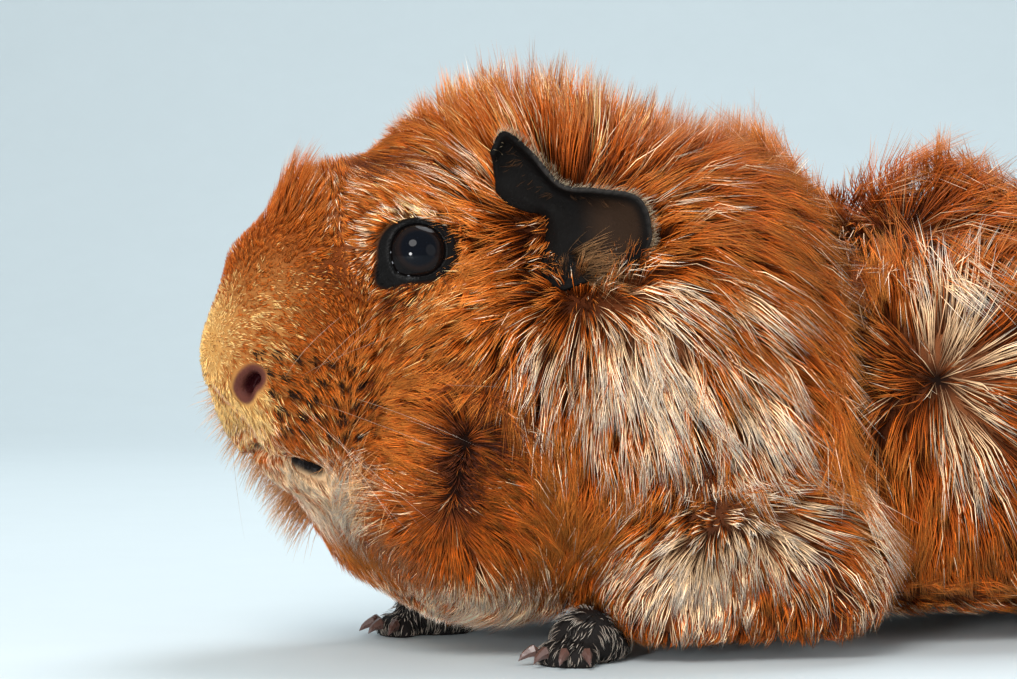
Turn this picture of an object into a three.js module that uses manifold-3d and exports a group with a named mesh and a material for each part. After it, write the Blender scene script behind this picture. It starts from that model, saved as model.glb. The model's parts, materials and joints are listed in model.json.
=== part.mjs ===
// A rosetted (Abyssinian) guinea pig at life size, crouched still on its four feet.
// Millimetres, +Z up, -Y towards the nose, +X to the animal's left. The origin is on the floor, under the middle of the body.
// The solids reach out to the tips of the coat. Places on the body are given as (sideways, behind the nose tip, height).
import * as THREE from "three";
import { mergeVertices } from "three/addons/utils/BufferGeometryUtils.js";
import Module from "manifold-3d";

const wasm = await Module();
wasm.setup();

// Driving dimensions
const BODY_LENGTH = 244; // nose tip to rump
const GAP = 0.3; // thin cut between neighbours
const SOLE = 0.6; // depth shaved off under each foot to leave a flat sole
const EYE_RADIUS = 5.4;
const EYE_PLACE = [17, 29.8, 64.3];
const EAR_THICKNESS = 1.3;
const CLAW_BEND = 0.9; // radians that a claw curls from root to tip
const FRONT_FOOT = {
  toes: [-42, -14, 14, 42], // degrees that each toe is splayed
  palm: [5.8, 8, 4.6],
  toeLength: 4.6,
  toeRadius: 2,
  clawLength: 4.2,
};
const HIND_FOOT = {
  toes: [-18, 0, 18],
  palm: [6, 17, 4.8],
  toeLength: 7,
  toeRadius: 2.4,
  clawLength: 5.5,
};

const COLOURS = {
  coat: 0xb0652b,
  paleCoat: 0xc98d55,
  skin: 0x2a2422,
  eye: 0x0a0808,
  claw: 0x6b4a40,
};

// ---- Forms: soft masses melted into each other -------------------------------------------------

const place = (side, behind, height) =>
  new THREE.Vector3(side, behind - BODY_LENGTH / 2, height);

// One rounded mass. blend is how widely it melts into those before it, square above 2 fills out
// its corners, a pair is mirrored across the middle of the body, and a hollow is scooped out.
function mass(centre, radii, look = {}) {
  const { blend = 6, square = 2, pair = false, hollow = false } = look;
  return { centre: place(...centre), radii, blend, square, pair, hollow };
}

// Distance from a point to a mass, negative inside.
function distanceTo(m, x, y, z) {
  const n = m.square;
  const sx = Math.abs(((m.pair ? Math.abs(x) : x) - m.centre.x) / m.radii[0]) + 1e-6;
  const sy = Math.abs((y - m.centre.y) / m.radii[1]) + 1e-6;
  const sz = Math.abs((z - m.centre.z) / m.radii[2]) + 1e-6;
  const reach = (sx ** n + sy ** n + sz ** n) ** (1 / n);
  const slope = Math.hypot(
    (sx / reach) ** (n - 1) / m.radii[0],
    (sy / reach) ** (n - 1) / m.radii[1],
    (sz / reach) ** (n - 1) / m.radii[2],
  );
  return (reach - 1) / slope;
}

// Joins a list of masses softly, as one distance function.
function melt(masses) {
  return (x, y, z) => {
    let distance = 1e3;
    for (const m of masses) {
      const next = distanceTo(m, x, y, z);
      if (m.hollow) {
        const near = Math.max(m.blend - Math.abs(distance + next), 0) / m.blend;
        distance = Math.max(distance, -next) + (near * near * m.blend) / 4;
      } else {
        const near = Math.max(m.blend - Math.abs(distance - next), 0) / m.blend;
        distance = Math.min(distance, next) - (near * near * m.blend) / 4;
      }
    }
    return distance;
  };
}

const HEAD_MASSES = [
  mass([0, 38, 61], [20, 22, 19]), // cranium
  mass([0, 9.4, 48], [9.6, 9, 8.2], { blend: 5, square: 2.2 }), // nose
  mass([7.2, 16, 40.2], [9, 10.2, 8.6], { pair: true, blend: 5 }), // whisker pads
  mass([0, 17.7, 58.5], [12.2, 13.2, 13], { blend: 8, square: 2.3 }), // bridge of the nose
  mass([0, 21, 73.5], [10, 6, 7.5], { blend: 5 }), // forehead crest
  mass([12, 29, 69], [7.5, 12, 8], { pair: true, blend: 6 }), // brows
  mass([17, 36, 44], [13, 15.5, 18], { pair: true, blend: 5 }), // cheeks
  mass([16.5, 26, 40], [8.5, 9, 10], { pair: true, blend: 6 }), // front of the cheeks
  mass([0, 20, 31.3], [9.5, 9, 6], { blend: 3.5 }), // lower lip and chin
  mass([14, 38, 30], [15.5, 17.5, 17.5], { pair: true, blend: 5 }), // jowls
];

const BODY_MASSES = [
  mass([0, 58, 75], [19, 28, 26], { blend: 7 }), // crown of upright hair behind the ears
  mass([0, 50, 24], [27, 22, 20], { blend: 10 }), // throat ruff
  mass([0, 67, 48], [33, 30, 36], { blend: 10 }), // neck
  mass([0, 85, 62], [34, 22, 29], { blend: 8, square: 2.3 }), // withers
  mass([23, 75, 46], [24.5, 22.5, 35], { pair: true, blend: 14, square: 2.5 }), // shoulders
  mass([0, 99, 78], [13, 8, 14], { blend: 6 }), // crest over the withers
  mass([0, 134, 44], [43, 50, 35], { blend: 7, square: 2.3 }), // barrel
  mass([0, 142, 30], [45, 60, 27.5], { blend: 8, square: 3 }), // belly
  mass([0, 168, 56], [37, 52, 26.5], { blend: 8 }), // loins
  mass([0, 139, 78], [14, 10, 11], { blend: 7 }), // crest over the loins
  mass([0, 203, 43], [41, 41, 37], { blend: 10 }), // rump
  mass([0, 187, 73], [18, 13, 11], { blend: 9 }), // crest over the rump
];

const LEG_MASSES = [
  mass([36, 86, 28], [11.5, 16, 21], { pair: true, blend: 6 }), // upper arm
  mass([40, 94, 14], [9.5, 11.5, 12.5], { pair: true, blend: 6 }), // elbow
  mass([34, 78, 11.5], [10.5, 20, 10], { pair: true, blend: 6 }), // forearm
  mass([29, 64, 9.5], [8, 8, 7.5], { pair: true, blend: 5 }), // wrist
  mass([30, 186, 35], [22, 33, 31], { pair: true, blend: 8, square: 2.2 }), // thigh
  mass([37, 180, 14], [12, 24, 11.5], { pair: true, blend: 8 }), // shank
];

const HOLLOWS = [
  mass([24.5, 29.6, 64.4], [5.5, 6.2, 5.4], { pair: true, blend: 3, hollow: true }), // eyes
  mass([31, 54, 69], [8, 9.5, 8.5], { pair: true, blend: 4, hollow: true }), // behind the ears
];

// ---- From forms to solids ----------------------------------------------------------------------

// Drops normals, welds the seams and poles, and removes the slivers that they leave.
function weld(geometry) {
  geometry.deleteAttribute("normal");
  geometry.deleteAttribute("uv");
  const merged = mergeVertices(geometry, 1e-4);
  const corners = [];
  for (let i = 0; i < merged.index.count; i += 3) {
    const [a, b, c] = [0, 1, 2].map((k) => merged.index.getX(i + k));
    if (a !== b && b !== c && c !== a) corners.push(a, b, c);
  }
  merged.setIndex(corners);
  return merged;
}

function solidOf(geometry) {
  const merged = weld(geometry);
  return new wasm.Manifold(
    new wasm.Mesh({
      numProp: 3,
      vertProperties: new Float32Array(merged.attributes.position.array),
      triVerts: new Uint32Array(merged.index.array),
    }),
  );
}

function geometryOf(solid) {
  const { vertProperties, triVerts } = solid.getMesh();
  return new THREE.BufferGeometry()
    .setAttribute("position", new THREE.BufferAttribute(vertProperties, 3))
    .setIndex(new THREE.BufferAttribute(triVerts, 1));
}

// A closed skin round a form: each vertex of a capsule slides in along its own ray, from outside,
// until it meets the form. The rays start on a spine, a curve in the middle plane or beside it.
function wrap(form, spine, { around, along, cap, side = 0 }, grow = 0) {
  const reach = 90;
  const capsule = new THREE.CapsuleGeometry(1, 2, cap, around, along);
  const corner = capsule.getAttribute("position");
  const outward = capsule.getAttribute("normal");
  for (let i = 0; i < corner.count; i++) {
    const share = THREE.MathUtils.clamp((corner.getY(i) - outward.getY(i) + 1) / 2, 0, 1);
    const start = spine.getPoint(share);
    const back = spine.getTangent(share);
    const across = outward.getX(i);
    const rayY = outward.getY(i) * back.x - outward.getZ(i) * back.y;
    const rayZ = outward.getY(i) * back.y + outward.getZ(i) * back.x;
    const at = (t) => [side + across * t, start.x + rayY * t, start.y + rayZ * t];
    let t = reach;
    for (let step = 0; step < 90; step++) {
      const distance = form(...at(t)) - grow;
      if (distance < 0.005) break;
      t -= Math.max(distance * 0.7, 0.004);
    }
    corner.setXYZ(i, ...at(Math.max(t, 0.5)));
  }
  return solidOf(capsule);
}

// A curve in the middle plane through (behind the nose tip, height) pairs.
function spineThrough(...points) {
  return new THREE.SplineCurve(
    points.map(([behind, height]) => new THREE.Vector2(behind - BODY_LENGTH / 2, height)),
  );
}

// Everything between two leaning walls. A wall stands behind the nose tip by so much at the floor,
// and leans back by so much at 100 mm.
function slab(front, rear) {
  const size = 400;
  const wall = ({ behind, lean }, facing) =>
    solidOf(
      new THREE.BoxGeometry(size, size, size)
        .translate(0, facing * (size / 2 + GAP / 2), 0)
        .rotateX(-Math.atan2(lean, 100))
        .translate(0, behind - BODY_LENGTH / 2, 0),
    );
  return wall(front, 1).intersect(wall(rear, -1));
}

function ball(centre, radii, round = 14) {
  const sphere = new THREE.SphereGeometry(1, round, Math.round(round * 0.6));
  return solidOf(sphere.scale(...radii).translate(...centre));
}

const above = (height) =>
  solidOf(new THREE.BoxGeometry(400, 400, 200).translate(0, 0, 100 + height));

// ---- Head, neck, trunk and rump ----------------------------------------------------------------

const form = melt([...HEAD_MASSES, ...BODY_MASSES, ...LEG_MASSES, ...HOLLOWS]);
const NECK_CUT = { behind: 43, lean: 26 };
const SHOULDER_CUT = { behind: 62, lean: 18 };
const LOIN_CUT = { behind: 146, lean: 6 };
const NOSE_END = { behind: -40, lean: 0 };
const TAIL_END = { behind: 300, lean: 0 };

const HEAD_SPINE = spineThrough([16, 47], [27, 52], [40, 57], [62, 60]);
const HEAD_MESH = { around: 32, along: 10, cap: 7 };
const BODY_SPINE = spineThrough([50, 54], [85, 46], [130, 40], [202, 40]);
const BODY_MESH = { around: 26, along: 24, cap: 5 };

const eyeball = (sign, radius) =>
  ball(place(sign * EYE_PLACE[0], EYE_PLACE[1], EYE_PLACE[2]).toArray(), [radius, radius, radius]);
const nostril = (sign) => ball(place(sign * 5, 3.9, 44.4).toArray(), [1.9, 3.4, 1.6], 8);
const mouth = ball(place(0, 10, 31.4).toArray(), [8, 6.5, 0.8], 12);

// The foot's own sleeve of coat: the form inside a rounded region, which is also cut out of the body.
const LEGS = {
  foreleg: {
    region: mass([38, 80.5, 11], [17, 28, 21]),
    spine: spineThrough([66, 10], [92, 14]),
    mesh: { around: 12, along: 5, cap: 3, side: 36 },
  },
  hindleg: {
    region: mass([40, 184, 30], [24, 36, 37]),
    spine: spineThrough([172, 20], [196, 32]),
    mesh: { around: 12, along: 4, cap: 4, side: 36 },
  },
};

function legRegion({ region }, sign, grow = 0) {
  const { x, y, z } = region.centre;
  return ball([sign * x, y, z], region.radii.map((radius) => radius + grow));
}

function legSolid(leg, sign, grow = 0) {
  const near = (x, y, z) => Math.max(form(x, y, z), distanceTo(leg.region, x, y, z) - 6);
  const whole = wrap(near, leg.spine, leg.mesh, grow);
  return (sign > 0 ? whole : whole.mirror([1, 0, 0])).intersect(legRegion(leg, sign, grow));
}

// ---- Feet --------------------------------------------------------------------------------------

// One toe lies along -Y from its root, dipping to the floor.
function toe(length, radius) {
  const bone = new THREE.CapsuleGeometry(radius, length, 2, 7, 1);
  return solidOf(bone.translate(0, -length / 2, 0).rotateX(0.2).translate(0, 0, radius + 0.9));
}

// A curled, tapering claw along -Y from its root, with extra thickness for the pocket it sits in.
function claw(length, radius, extra = 0) {
  const horn = new THREE.CapsuleGeometry(1, 2, 1, 6, 3);
  const corner = horn.getAttribute("position");
  const curl = length / CLAW_BEND;
  for (let i = 0; i < corner.count; i++) {
    const share = (corner.getY(i) + 2) / 4;
    const width = radius * (1 - 0.85 * share) + extra;
    const bend = CLAW_BEND * share;
    const out = curl + corner.getZ(i) * width * 1.25;
    corner.setXYZ(i, -corner.getX(i) * width, -out * Math.sin(bend), out * Math.cos(bend) - curl);
  }
  return solidOf(horn);
}

// A foot with its claws, resting on a flat sole.
function makeFoot(kind, centre, yaw) {
  const put = (solid) => solid.rotate([0, 0, yaw]).translate(centre.toArray());
  const root = kind.palm[1] * 0.6;
  let foot = ball([0, 0, kind.palm[2] - SOLE], kind.palm, 10);
  for (const splay of kind.toes) {
    const one = toe(kind.toeLength, kind.toeRadius).rotate([0, 0, splay]);
    foot = foot.add(one.translate([0, -root, -SOLE]));
  }
  const claws = kind.toes.map((splay) => {
    const angle = THREE.MathUtils.degToRad(splay);
    const out = kind.toeLength + kind.toeRadius * 0.75;
    const tip = [Math.sin(angle) * out, -root - Math.cos(angle) * out, kind.toeRadius + 0.5];
    const at = (solid) => solid.rotate([0, 0, splay]).translate(tip);
    foot = foot.subtract(at(claw(kind.clawLength, 1.1, GAP)));
    return put(at(claw(kind.clawLength, 1.1))).intersect(above(0.15));
  });
  return { foot: put(foot).intersect(above(0)), claws };
}

// ---- Ears --------------------------------------------------------------------------------------

// The left ear's root runs down past the ear hole, and its rim stands out from that: a petal, tall
// and folded in front, with a broad lobe that hangs behind.
const EAR_ROOT = [
  [18.5, 42.5, 76],
  [19.5, 44.5, 75],
  [21, 47.5, 73],
  [22.5, 51, 71],
  [24, 51.5, 66],
  [25, 52.3, 62],
  [26, 53.5, 59.5],
];
const EAR_RIM = [
  [20.5, 41, 80.5],
  [22.3, 42.3, 84],
  [24, 46, 80.6],
  [27, 49.8, 75.2],
  [31.5, 54.2, 74.4],
  [35.5, 59.5, 73],
  [35.5, 61.5, 66.5],
  [31, 60, 62.5],
];

function makeEar(sign) {
  const root = new THREE.CatmullRomCurve3(EAR_ROOT.map((p) => place(...p)));
  const rim = new THREE.CatmullRomCurve3(EAR_RIM.map((p) => place(...p)));
  const surface = (u, v) => {
    const cup = 2.6 * Math.sin(Math.PI * v) * Math.sin(Math.PI * u);
    const point = root.getPoint(u).lerp(rim.getPoint(u), v);
    return point.add(new THREE.Vector3(-0.5 * cup, 0.8 * cup, 0.2 * cup));
  };
  const petal = new THREE.BoxGeometry(1, 1, 1, 12, 3, 1);
  const corner = petal.getAttribute("position");
  for (let i = 0; i < corner.count; i++) {
    const u = THREE.MathUtils.clamp(corner.getX(i) + 0.5, 0.01, 0.99);
    const v = (corner.getY(i) + 0.5) * 1.35 - 0.35;
    const alongU = surface(u + 0.01, v).sub(surface(u - 0.01, v));
    const alongV = surface(u, v + 0.01).sub(surface(u, v - 0.01));
    const thickness = EAR_THICKNESS * (1.5 - 0.8 * v);
    const out = alongU.cross(alongV).setLength(corner.getZ(i) * thickness + 1e-9);
    corner.setXYZ(i, ...surface(u, v).add(out).toArray());
  }
  const ear = solidOf(petal);
  return sign > 0 ? ear : ear.mirror([1, 0, 0]);
}

// ---- The whole animal --------------------------------------------------------------------------

const model = new THREE.Group();

function addNode(name, solid, colour, roughness = 0.85) {
  const material = new THREE.MeshStandardMaterial({ color: colour, roughness, metalness: 0 });
  const mesh = new THREE.Mesh(geometryOf(solid), material);
  mesh.name = name;
  model.add(mesh);
}

const SIDES = { left: 1, right: -1 };
const FEET = {
  forefoot_left: { kind: FRONT_FOOT, centre: place(26, 56.5, 0), yaw: 32 },
  forefoot_right: { kind: FRONT_FOOT, centre: place(-23, 52.5, 0), yaw: -4 },
  hindfoot_left: { kind: HIND_FOOT, centre: place(37, 177, 0), yaw: 12 },
  hindfoot_right: { kind: HIND_FOOT, centre: place(-37, 173, 0), yaw: -12 },
};

const headRoom = wrap(form, HEAD_SPINE, HEAD_MESH, GAP);
const bodyRoom = wrap(form, BODY_SPINE, BODY_MESH, GAP);
let body = wrap(form, BODY_SPINE, BODY_MESH).intersect(above(2));
let head = wrap(form, HEAD_SPINE, HEAD_MESH).subtract(mouth);
for (const [side, sign] of Object.entries(SIDES)) {
  head = head.subtract(eyeball(sign, EYE_RADIUS + GAP)).subtract(nostril(sign));
  addNode(`eye_${side}`, eyeball(sign, EYE_RADIUS), COLOURS.eye, 0.05);
  addNode(`ear_${side}`, makeEar(sign).subtract(headRoom).subtract(bodyRoom), COLOURS.skin, 0.6);
}

for (const [name, { kind, centre, yaw }] of Object.entries(FEET)) {
  const limb = name.startsWith("fore") ? "foreleg" : "hindleg";
  const side = centre.x > 0 ? "left" : "right";
  const shape = LEGS[limb];
  body = body.subtract(legRegion(shape, SIDES[side], GAP));
  const leg = legSolid(shape, SIDES[side]).intersect(above(2));
  const { foot, claws } = makeFoot(kind, centre, yaw);
  const room = legSolid(shape, SIDES[side], GAP).add(bodyRoom).add(headRoom);
  addNode(`${limb}_${side}`, leg, COLOURS.paleCoat);
  addNode(name, foot.subtract(room), COLOURS.skin);
  claws.forEach((solid, i) => addNode(`${name}_claw_${i + 1}`, solid, COLOURS.claw, 0.4));
}

addNode("head", head.intersect(slab(NOSE_END, NECK_CUT)), COLOURS.coat);
addNode("neck", body.intersect(slab(NECK_CUT, SHOULDER_CUT)), COLOURS.coat);
addNode("trunk", body.intersect(slab(SHOULDER_CUT, LOIN_CUT)), COLOURS.coat);
addNode("rump", body.intersect(slab(LOIN_CUT, TAIL_END)), COLOURS.coat);

// The body's middle stands over the origin.
const bounds = new THREE.Box3().setFromObject(model);
model.position.y = -bounds.getCenter(new THREE.Vector3()).y;

export default model;
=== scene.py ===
# %% [markdown]
# # A rosetted guinea pig, from its solids to its coat
# The solids of the frame reach out to the tips of the hair. Under them this lesson makes one skin,
# grows a coat of small hair meshes on it, and finishes the eyes, ears, nose, feet and claws.
# The animal faces -Y, its left side is +X, and it crouches on the floor at Z = 0.

# %% Load the frame
import json
import math
import bpy
import numpy as np
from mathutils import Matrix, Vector
from mathutils.bvhtree import BVHTree
from mathutils.kdtree import KDTree

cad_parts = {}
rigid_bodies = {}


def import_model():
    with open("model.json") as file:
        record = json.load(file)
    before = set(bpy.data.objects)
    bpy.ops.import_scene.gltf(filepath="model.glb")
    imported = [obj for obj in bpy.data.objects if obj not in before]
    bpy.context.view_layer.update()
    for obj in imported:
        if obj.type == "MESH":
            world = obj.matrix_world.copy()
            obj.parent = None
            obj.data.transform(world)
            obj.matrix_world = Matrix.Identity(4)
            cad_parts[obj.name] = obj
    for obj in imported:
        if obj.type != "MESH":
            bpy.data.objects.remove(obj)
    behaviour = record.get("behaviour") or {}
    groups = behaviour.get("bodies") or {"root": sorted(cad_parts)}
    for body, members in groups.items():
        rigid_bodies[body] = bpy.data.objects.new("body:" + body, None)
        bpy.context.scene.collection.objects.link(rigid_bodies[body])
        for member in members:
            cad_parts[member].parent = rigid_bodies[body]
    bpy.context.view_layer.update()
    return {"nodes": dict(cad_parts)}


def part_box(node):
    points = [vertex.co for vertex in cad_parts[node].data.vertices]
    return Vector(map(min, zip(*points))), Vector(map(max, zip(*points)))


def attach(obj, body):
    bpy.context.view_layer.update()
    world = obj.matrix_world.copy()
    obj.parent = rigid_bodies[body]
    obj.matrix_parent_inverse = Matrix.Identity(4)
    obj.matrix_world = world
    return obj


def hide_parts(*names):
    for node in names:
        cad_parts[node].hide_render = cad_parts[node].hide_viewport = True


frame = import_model()
MM = 0.001
NOSE_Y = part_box("head")[0].y
REAR_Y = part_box("rump")[1].y
random = np.random.default_rng(7)
print("length of the animal in mm:", round((REAR_Y - NOSE_Y) / MM))


def at(side, behind, height):
    """A place on the body: mm to the left, mm behind the nose tip, mm above the floor."""
    return np.array([side * MM, NOSE_Y + behind * MM, height * MM])


# %% [markdown]
# ## Camera, floor and light
# A long lens close to the floor sees the left side of the head from a little in front. The floor
# curves up into a backdrop, so no horizon shows, and broad soft lamps keep the shadows in the coat
# open.

# %% Camera
CAMERA_TURN = math.radians(64)
CAMERA_AWAY = 0.470
AIM = at(0, 53.9, 51)
camera_data = bpy.data.cameras.new("Camera")
camera_data.lens = 100
camera_data.sensor_width = 36
camera_data.clip_end = 20
camera = bpy.data.objects.new("Camera", camera_data)
camera.location = (
    AIM[0] + CAMERA_AWAY * math.sin(CAMERA_TURN),
    AIM[1] - CAMERA_AWAY * math.cos(CAMERA_TURN),
    AIM[2],
)
camera.rotation_euler = (math.radians(90), 0, CAMERA_TURN)
bpy.context.scene.collection.objects.link(camera)
bpy.context.scene.camera = camera
print("camera at", [round(c, 3) for c in camera.location])


# %% Helpers for operators
def deselect():
    if bpy.context.object and bpy.context.object.mode != "OBJECT":
        bpy.ops.object.mode_set(mode="OBJECT")
    bpy.ops.object.select_all(action="DESELECT")


def pick(*objects):
    """Selects these objects alone and makes the first one active."""
    deselect()
    for one in objects:
        one.select_set(True)
    bpy.context.view_layer.objects.active = objects[0]
    return objects[0]


def apply_modifier(piece, kind, **settings):
    modifier = piece.modifiers.new(kind.title(), kind)
    for name, value in settings.items():
        setattr(modifier, name, value)
    pick(piece)
    bpy.ops.object.modifier_apply(modifier=modifier.name)


def numbers(items, name, width=3):
    """One attribute of many mesh items as rows of numbers."""
    values = np.zeros(len(items) * width, np.float32)
    items.foreach_get(name, values)
    return values.reshape(-1, width).astype(float)


# %% Floor and backdrop in one sweep
bpy.ops.object.select_all(action="DESELECT")
bpy.ops.mesh.primitive_plane_add(size=6)
floor = bpy.context.object
floor.name = "floor"
bpy.ops.object.mode_set(mode="EDIT")
bpy.ops.mesh.select_all(action="SELECT")
bpy.ops.mesh.subdivide(number_cuts=40)
bpy.ops.object.mode_set(mode="OBJECT")
away = np.array([-math.sin(CAMERA_TURN), math.cos(CAMERA_TURN)])
SWEEP_START, SWEEP_RADIUS = 0.9, 0.8
ground = numbers(floor.data.vertices, "co")
run = ground[:, :2] @ away - SWEEP_START
turn = np.clip(run / SWEEP_RADIUS, 0, math.pi / 2)
past = run - turn * SWEEP_RADIUS
climbing = run > 0
shift = np.where(climbing, SWEEP_RADIUS * np.sin(turn) - run, 0)
ground[:, :2] += shift[:, None] * away
ground[:, 2] = np.where(climbing, SWEEP_RADIUS * (1 - np.cos(turn)) + past, 0)
floor.data.vertices.foreach_set("co", ground.ravel())
bpy.ops.object.shade_smooth()


# %% Lamps
def softbox(name, place, aim, size, power, colour=(1, 1, 1)):
    data = bpy.data.lights.new(name, "AREA")
    data.shape = "DISK"
    data.size = size
    data.energy = power
    data.color = colour
    lamp = bpy.data.objects.new(name, data)
    lamp.location = place
    lamp.rotation_euler = (Vector(aim) - Vector(place)).to_track_quat("-Z", "Y").to_euler()
    bpy.context.scene.collection.objects.link(lamp)


softbox("window", (0.9, -0.75, 0.95), (0, 0, 0.05), 0.6, 11.5, (1, 0.98, 0.95))
softbox("sky", (-0.3, 0.5, 1.3), (0, 0, 0.05), 0.9, 12, (0.93, 0.97, 1))
softbox("fill", (1.1, 0.5, 0.35), (0, 0, 0.05), 0.8, 2, (1, 0.97, 0.93))
softbox("catchlight", (0.40, -0.44, 0.08), (0.02, -0.09, 0.064), 0.09, 1.8)
world = bpy.data.worlds.new("room")
bpy.context.scene.world = world
world.use_nodes = True
world.node_tree.nodes["Background"].inputs["Color"].default_value = (0.86, 0.93, 0.96, 1)
world.node_tree.nodes["Background"].inputs["Strength"].default_value = 0.55
bpy.context.scene.view_settings.view_transform = "Standard"

# %% [markdown]
# ## Skin
# A real animal has one unbroken skin, so the parts of flesh are copied, swollen by a hair's breadth
# until they overlap, and melted together with a voxel remesh. The result is still as fat as the
# coat, so it is sunk inwards, in many small steps with smoothing between them: one big step would
# fold the mesh wherever the coat is thick.

# %% Copy and melt the flesh
FEET = ["forefoot_left", "forefoot_right", "hindfoot_left", "hindfoot_right"]
LEGS = ["foreleg_left", "foreleg_right", "hindleg_left", "hindleg_right"]
EARS = ["ear_left", "ear_right"]
BODY = ["head", "neck", "trunk", "rump"] + LEGS
OVERLAP = 0.35 * MM
BODY_VOXEL, FOOT_VOXEL = 1.4 * MM, 0.55 * MM


def melted_copy(name, nodes, voxel):
    pick(*[frame["nodes"][node] for node in nodes])
    bpy.ops.object.duplicate()
    if len(nodes) > 1:
        bpy.ops.object.join()
    piece = bpy.context.object
    piece.name = name
    piece.parent = None
    bpy.ops.object.mode_set(mode="EDIT")
    bpy.ops.mesh.select_all(action="SELECT")
    bpy.ops.mesh.remove_doubles(threshold=1e-6)
    bpy.ops.transform.shrink_fatten(value=OVERLAP)
    bpy.ops.object.mode_set(mode="OBJECT")
    piece.data.materials.clear()
    apply_modifier(piece, "REMESH", mode="VOXEL", voxel_size=voxel)
    return piece


skin = melted_copy("skin", BODY, BODY_VOXEL)
print("melted body:", len(skin.data.vertices), "vertices")


# %% Keep only the outer shell
def keep_largest(piece):
    count = len(piece.data.vertices)
    edges = numbers(piece.data.edges, "vertices", 2).astype(int)
    label = np.arange(count)
    while True:
        low = np.minimum(label[edges[:, 0]], label[edges[:, 1]])
        before = label.copy()
        np.minimum.at(label, edges[:, 0], low)
        np.minimum.at(label, edges[:, 1], low)
        label = label[label]
        if (label == before).all():
            break
    names, sizes = np.unique(label, return_counts=True)
    drop = label != names[sizes.argmax()]
    piece.data.vertices.foreach_set("select", drop)
    pick(piece)
    bpy.ops.object.mode_set(mode="EDIT")
    bpy.ops.mesh.select_mode(type="VERT")
    bpy.ops.object.mode_set(mode="OBJECT")
    piece.data.vertices.foreach_set("select", drop)
    bpy.ops.object.mode_set(mode="EDIT")
    bpy.ops.mesh.delete(type="VERT")
    bpy.ops.object.mode_set(mode="OBJECT")
    return len(names) - 1


print("inner pockets removed:", keep_largest(skin))


# %% Reading and moving the skin in numbers
def ramp(low, high, value):
    """Smooth step from 0 at low to 1 at high, which may be the smaller of the two."""
    share = np.clip((value - low) / (high - low), 0, 1)
    return share * share * (3 - 2 * share)


def body_mm(points):
    """Columns of mm: distance from the middle, behind the nose tip, above the floor."""
    return np.stack(
        [np.abs(points[:, 0]), points[:, 1] - NOSE_Y, points[:, 2]], axis=1
    ) / MM


def spot(mm, centre, radii):
    """A soft mark: 1 at its centre and fading past its radii. It shows on both sides."""
    away = ((mm - np.array(centre)) / np.array(radii)) ** 2
    return np.exp(-away.sum(axis=1))


def triangles_of(piece):
    piece.data.calc_loop_triangles()
    return numbers(piece.data.loop_triangles, "vertices").astype(int)


def corner_normals(points, triangles):
    """Unit normal of each vertex, from the faces round it."""
    a, b, c = (points[triangles[:, k]] for k in range(3))
    face = np.cross(b - a, c - a)
    total = np.stack(
        [
            sum(np.bincount(triangles[:, k], face[:, axis], len(points)) for k in range(3))
            for axis in range(3)
        ],
        axis=1,
    )
    return total / np.maximum(np.linalg.norm(total, axis=1, keepdims=True), 1e-12)


def smoothed(points, edges, amount):
    """Each vertex goes part of the way to the middle of its neighbours."""
    first, second = edges[:, 0], edges[:, 1]
    count = np.bincount(edges.ravel(), minlength=len(points))[:, None]
    total = np.stack(
        [
            np.bincount(first, points[second, axis], len(points))
            + np.bincount(second, points[first, axis], len(points))
            for axis in range(3)
        ],
        axis=1,
    )
    return points + amount * (total / np.maximum(count, 1) - points)


# %% [markdown]
# How deep the coat is decides how far the skin lies under the solids. On the nose the hair is
# under a millimetre deep, on the cheeks about five, and on the body eight. Over the neck and along
# the back it stands up in crests. A crest is a narrow ridge, so there the skin drops straight down
# instead of along its normals, which would turn the ridge inside out.


# %% Depth of the coat
EYE_SOCKET = (18, 29.8, 64.3)
CRESTS = [  # (height, centre, radii) in mm of the tufts that stand up along the back
    (7, (0, 99, 90), (17, 9, 13)),
    (8, (0, 139, 88), (18, 12, 12)),
    (5, (0, 187, 84), (20, 15, 12)),
    (3.5, (0, 20, 80), (12, 7, 6)),
]


def coat_depth(mm):
    behind, height = mm[:, 1], mm[:, 2]
    depth = np.interp(behind, [0, 8, 20, 30, 45, 60, 80], [0.8, 0.9, 1.5, 2.2, 5, 7, 8])
    depth *= np.interp(height, [0, 6, 20, 40], [0.3, 0.4, 0.75, 1])
    near_eye = spot(mm, EYE_SOCKET, (9, 9, 8))
    return depth * (1 - near_eye) + 1.1 * near_eye


def crest_height(mm):
    side, behind, height = mm.T
    mane = ramp(28, 46, behind) * ramp(106, 86, behind) * ramp(28, 2, side)
    crest = 11.5 * mane * ramp(70, 96, height)
    for tall, centre, radii in CRESTS:
        crest += tall * spot(mm, centre, radii)
    return crest


# %% Sink the skin under the coat
SINK_STEPS = 24
DEEP_COAT, TALL_CREST = 7 * MM, 4 * MM  # from here on the smoothing works with full strength
edges = numbers(skin.data.edges, "vertices", 2).astype(int)
triangles = triangles_of(skin)
points = numbers(skin.data.vertices, "co")
for step in range(4):
    points = smoothed(points, edges, 0.5)
depth = coat_depth(body_mm(points)) * MM
crest = crest_height(body_mm(points)) * MM
outline = points.copy()
for step in range(SINK_STEPS):
    points[:, 2] -= crest / SINK_STEPS
    normal = corner_normals(points, triangles)
    points -= normal * (depth / SINK_STEPS)[:, None]
    share = np.clip((depth + crest) / DEEP_COAT, 0.05, 1)[:, None]
    points += (smoothed(points, edges, 0.6) - points) * share
for step in range(12):
    share = np.clip(crest / TALL_CREST, 0, 1)[:, None]
    points += (smoothed(points, edges, 0.7) - points) * share
skin.data.vertices.foreach_set("co", points.ravel())
skin.data.update()


def remember(piece, name, values, kind="FLOAT_VECTOR", field="vector"):
    """Keeps one value for each vertex with the mesh, where joins and cuts carry it along."""
    layer = piece.data.attributes.new(name, kind, "POINT")
    layer.data.foreach_set(field, np.asarray(values, np.float32).ravel())


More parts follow.
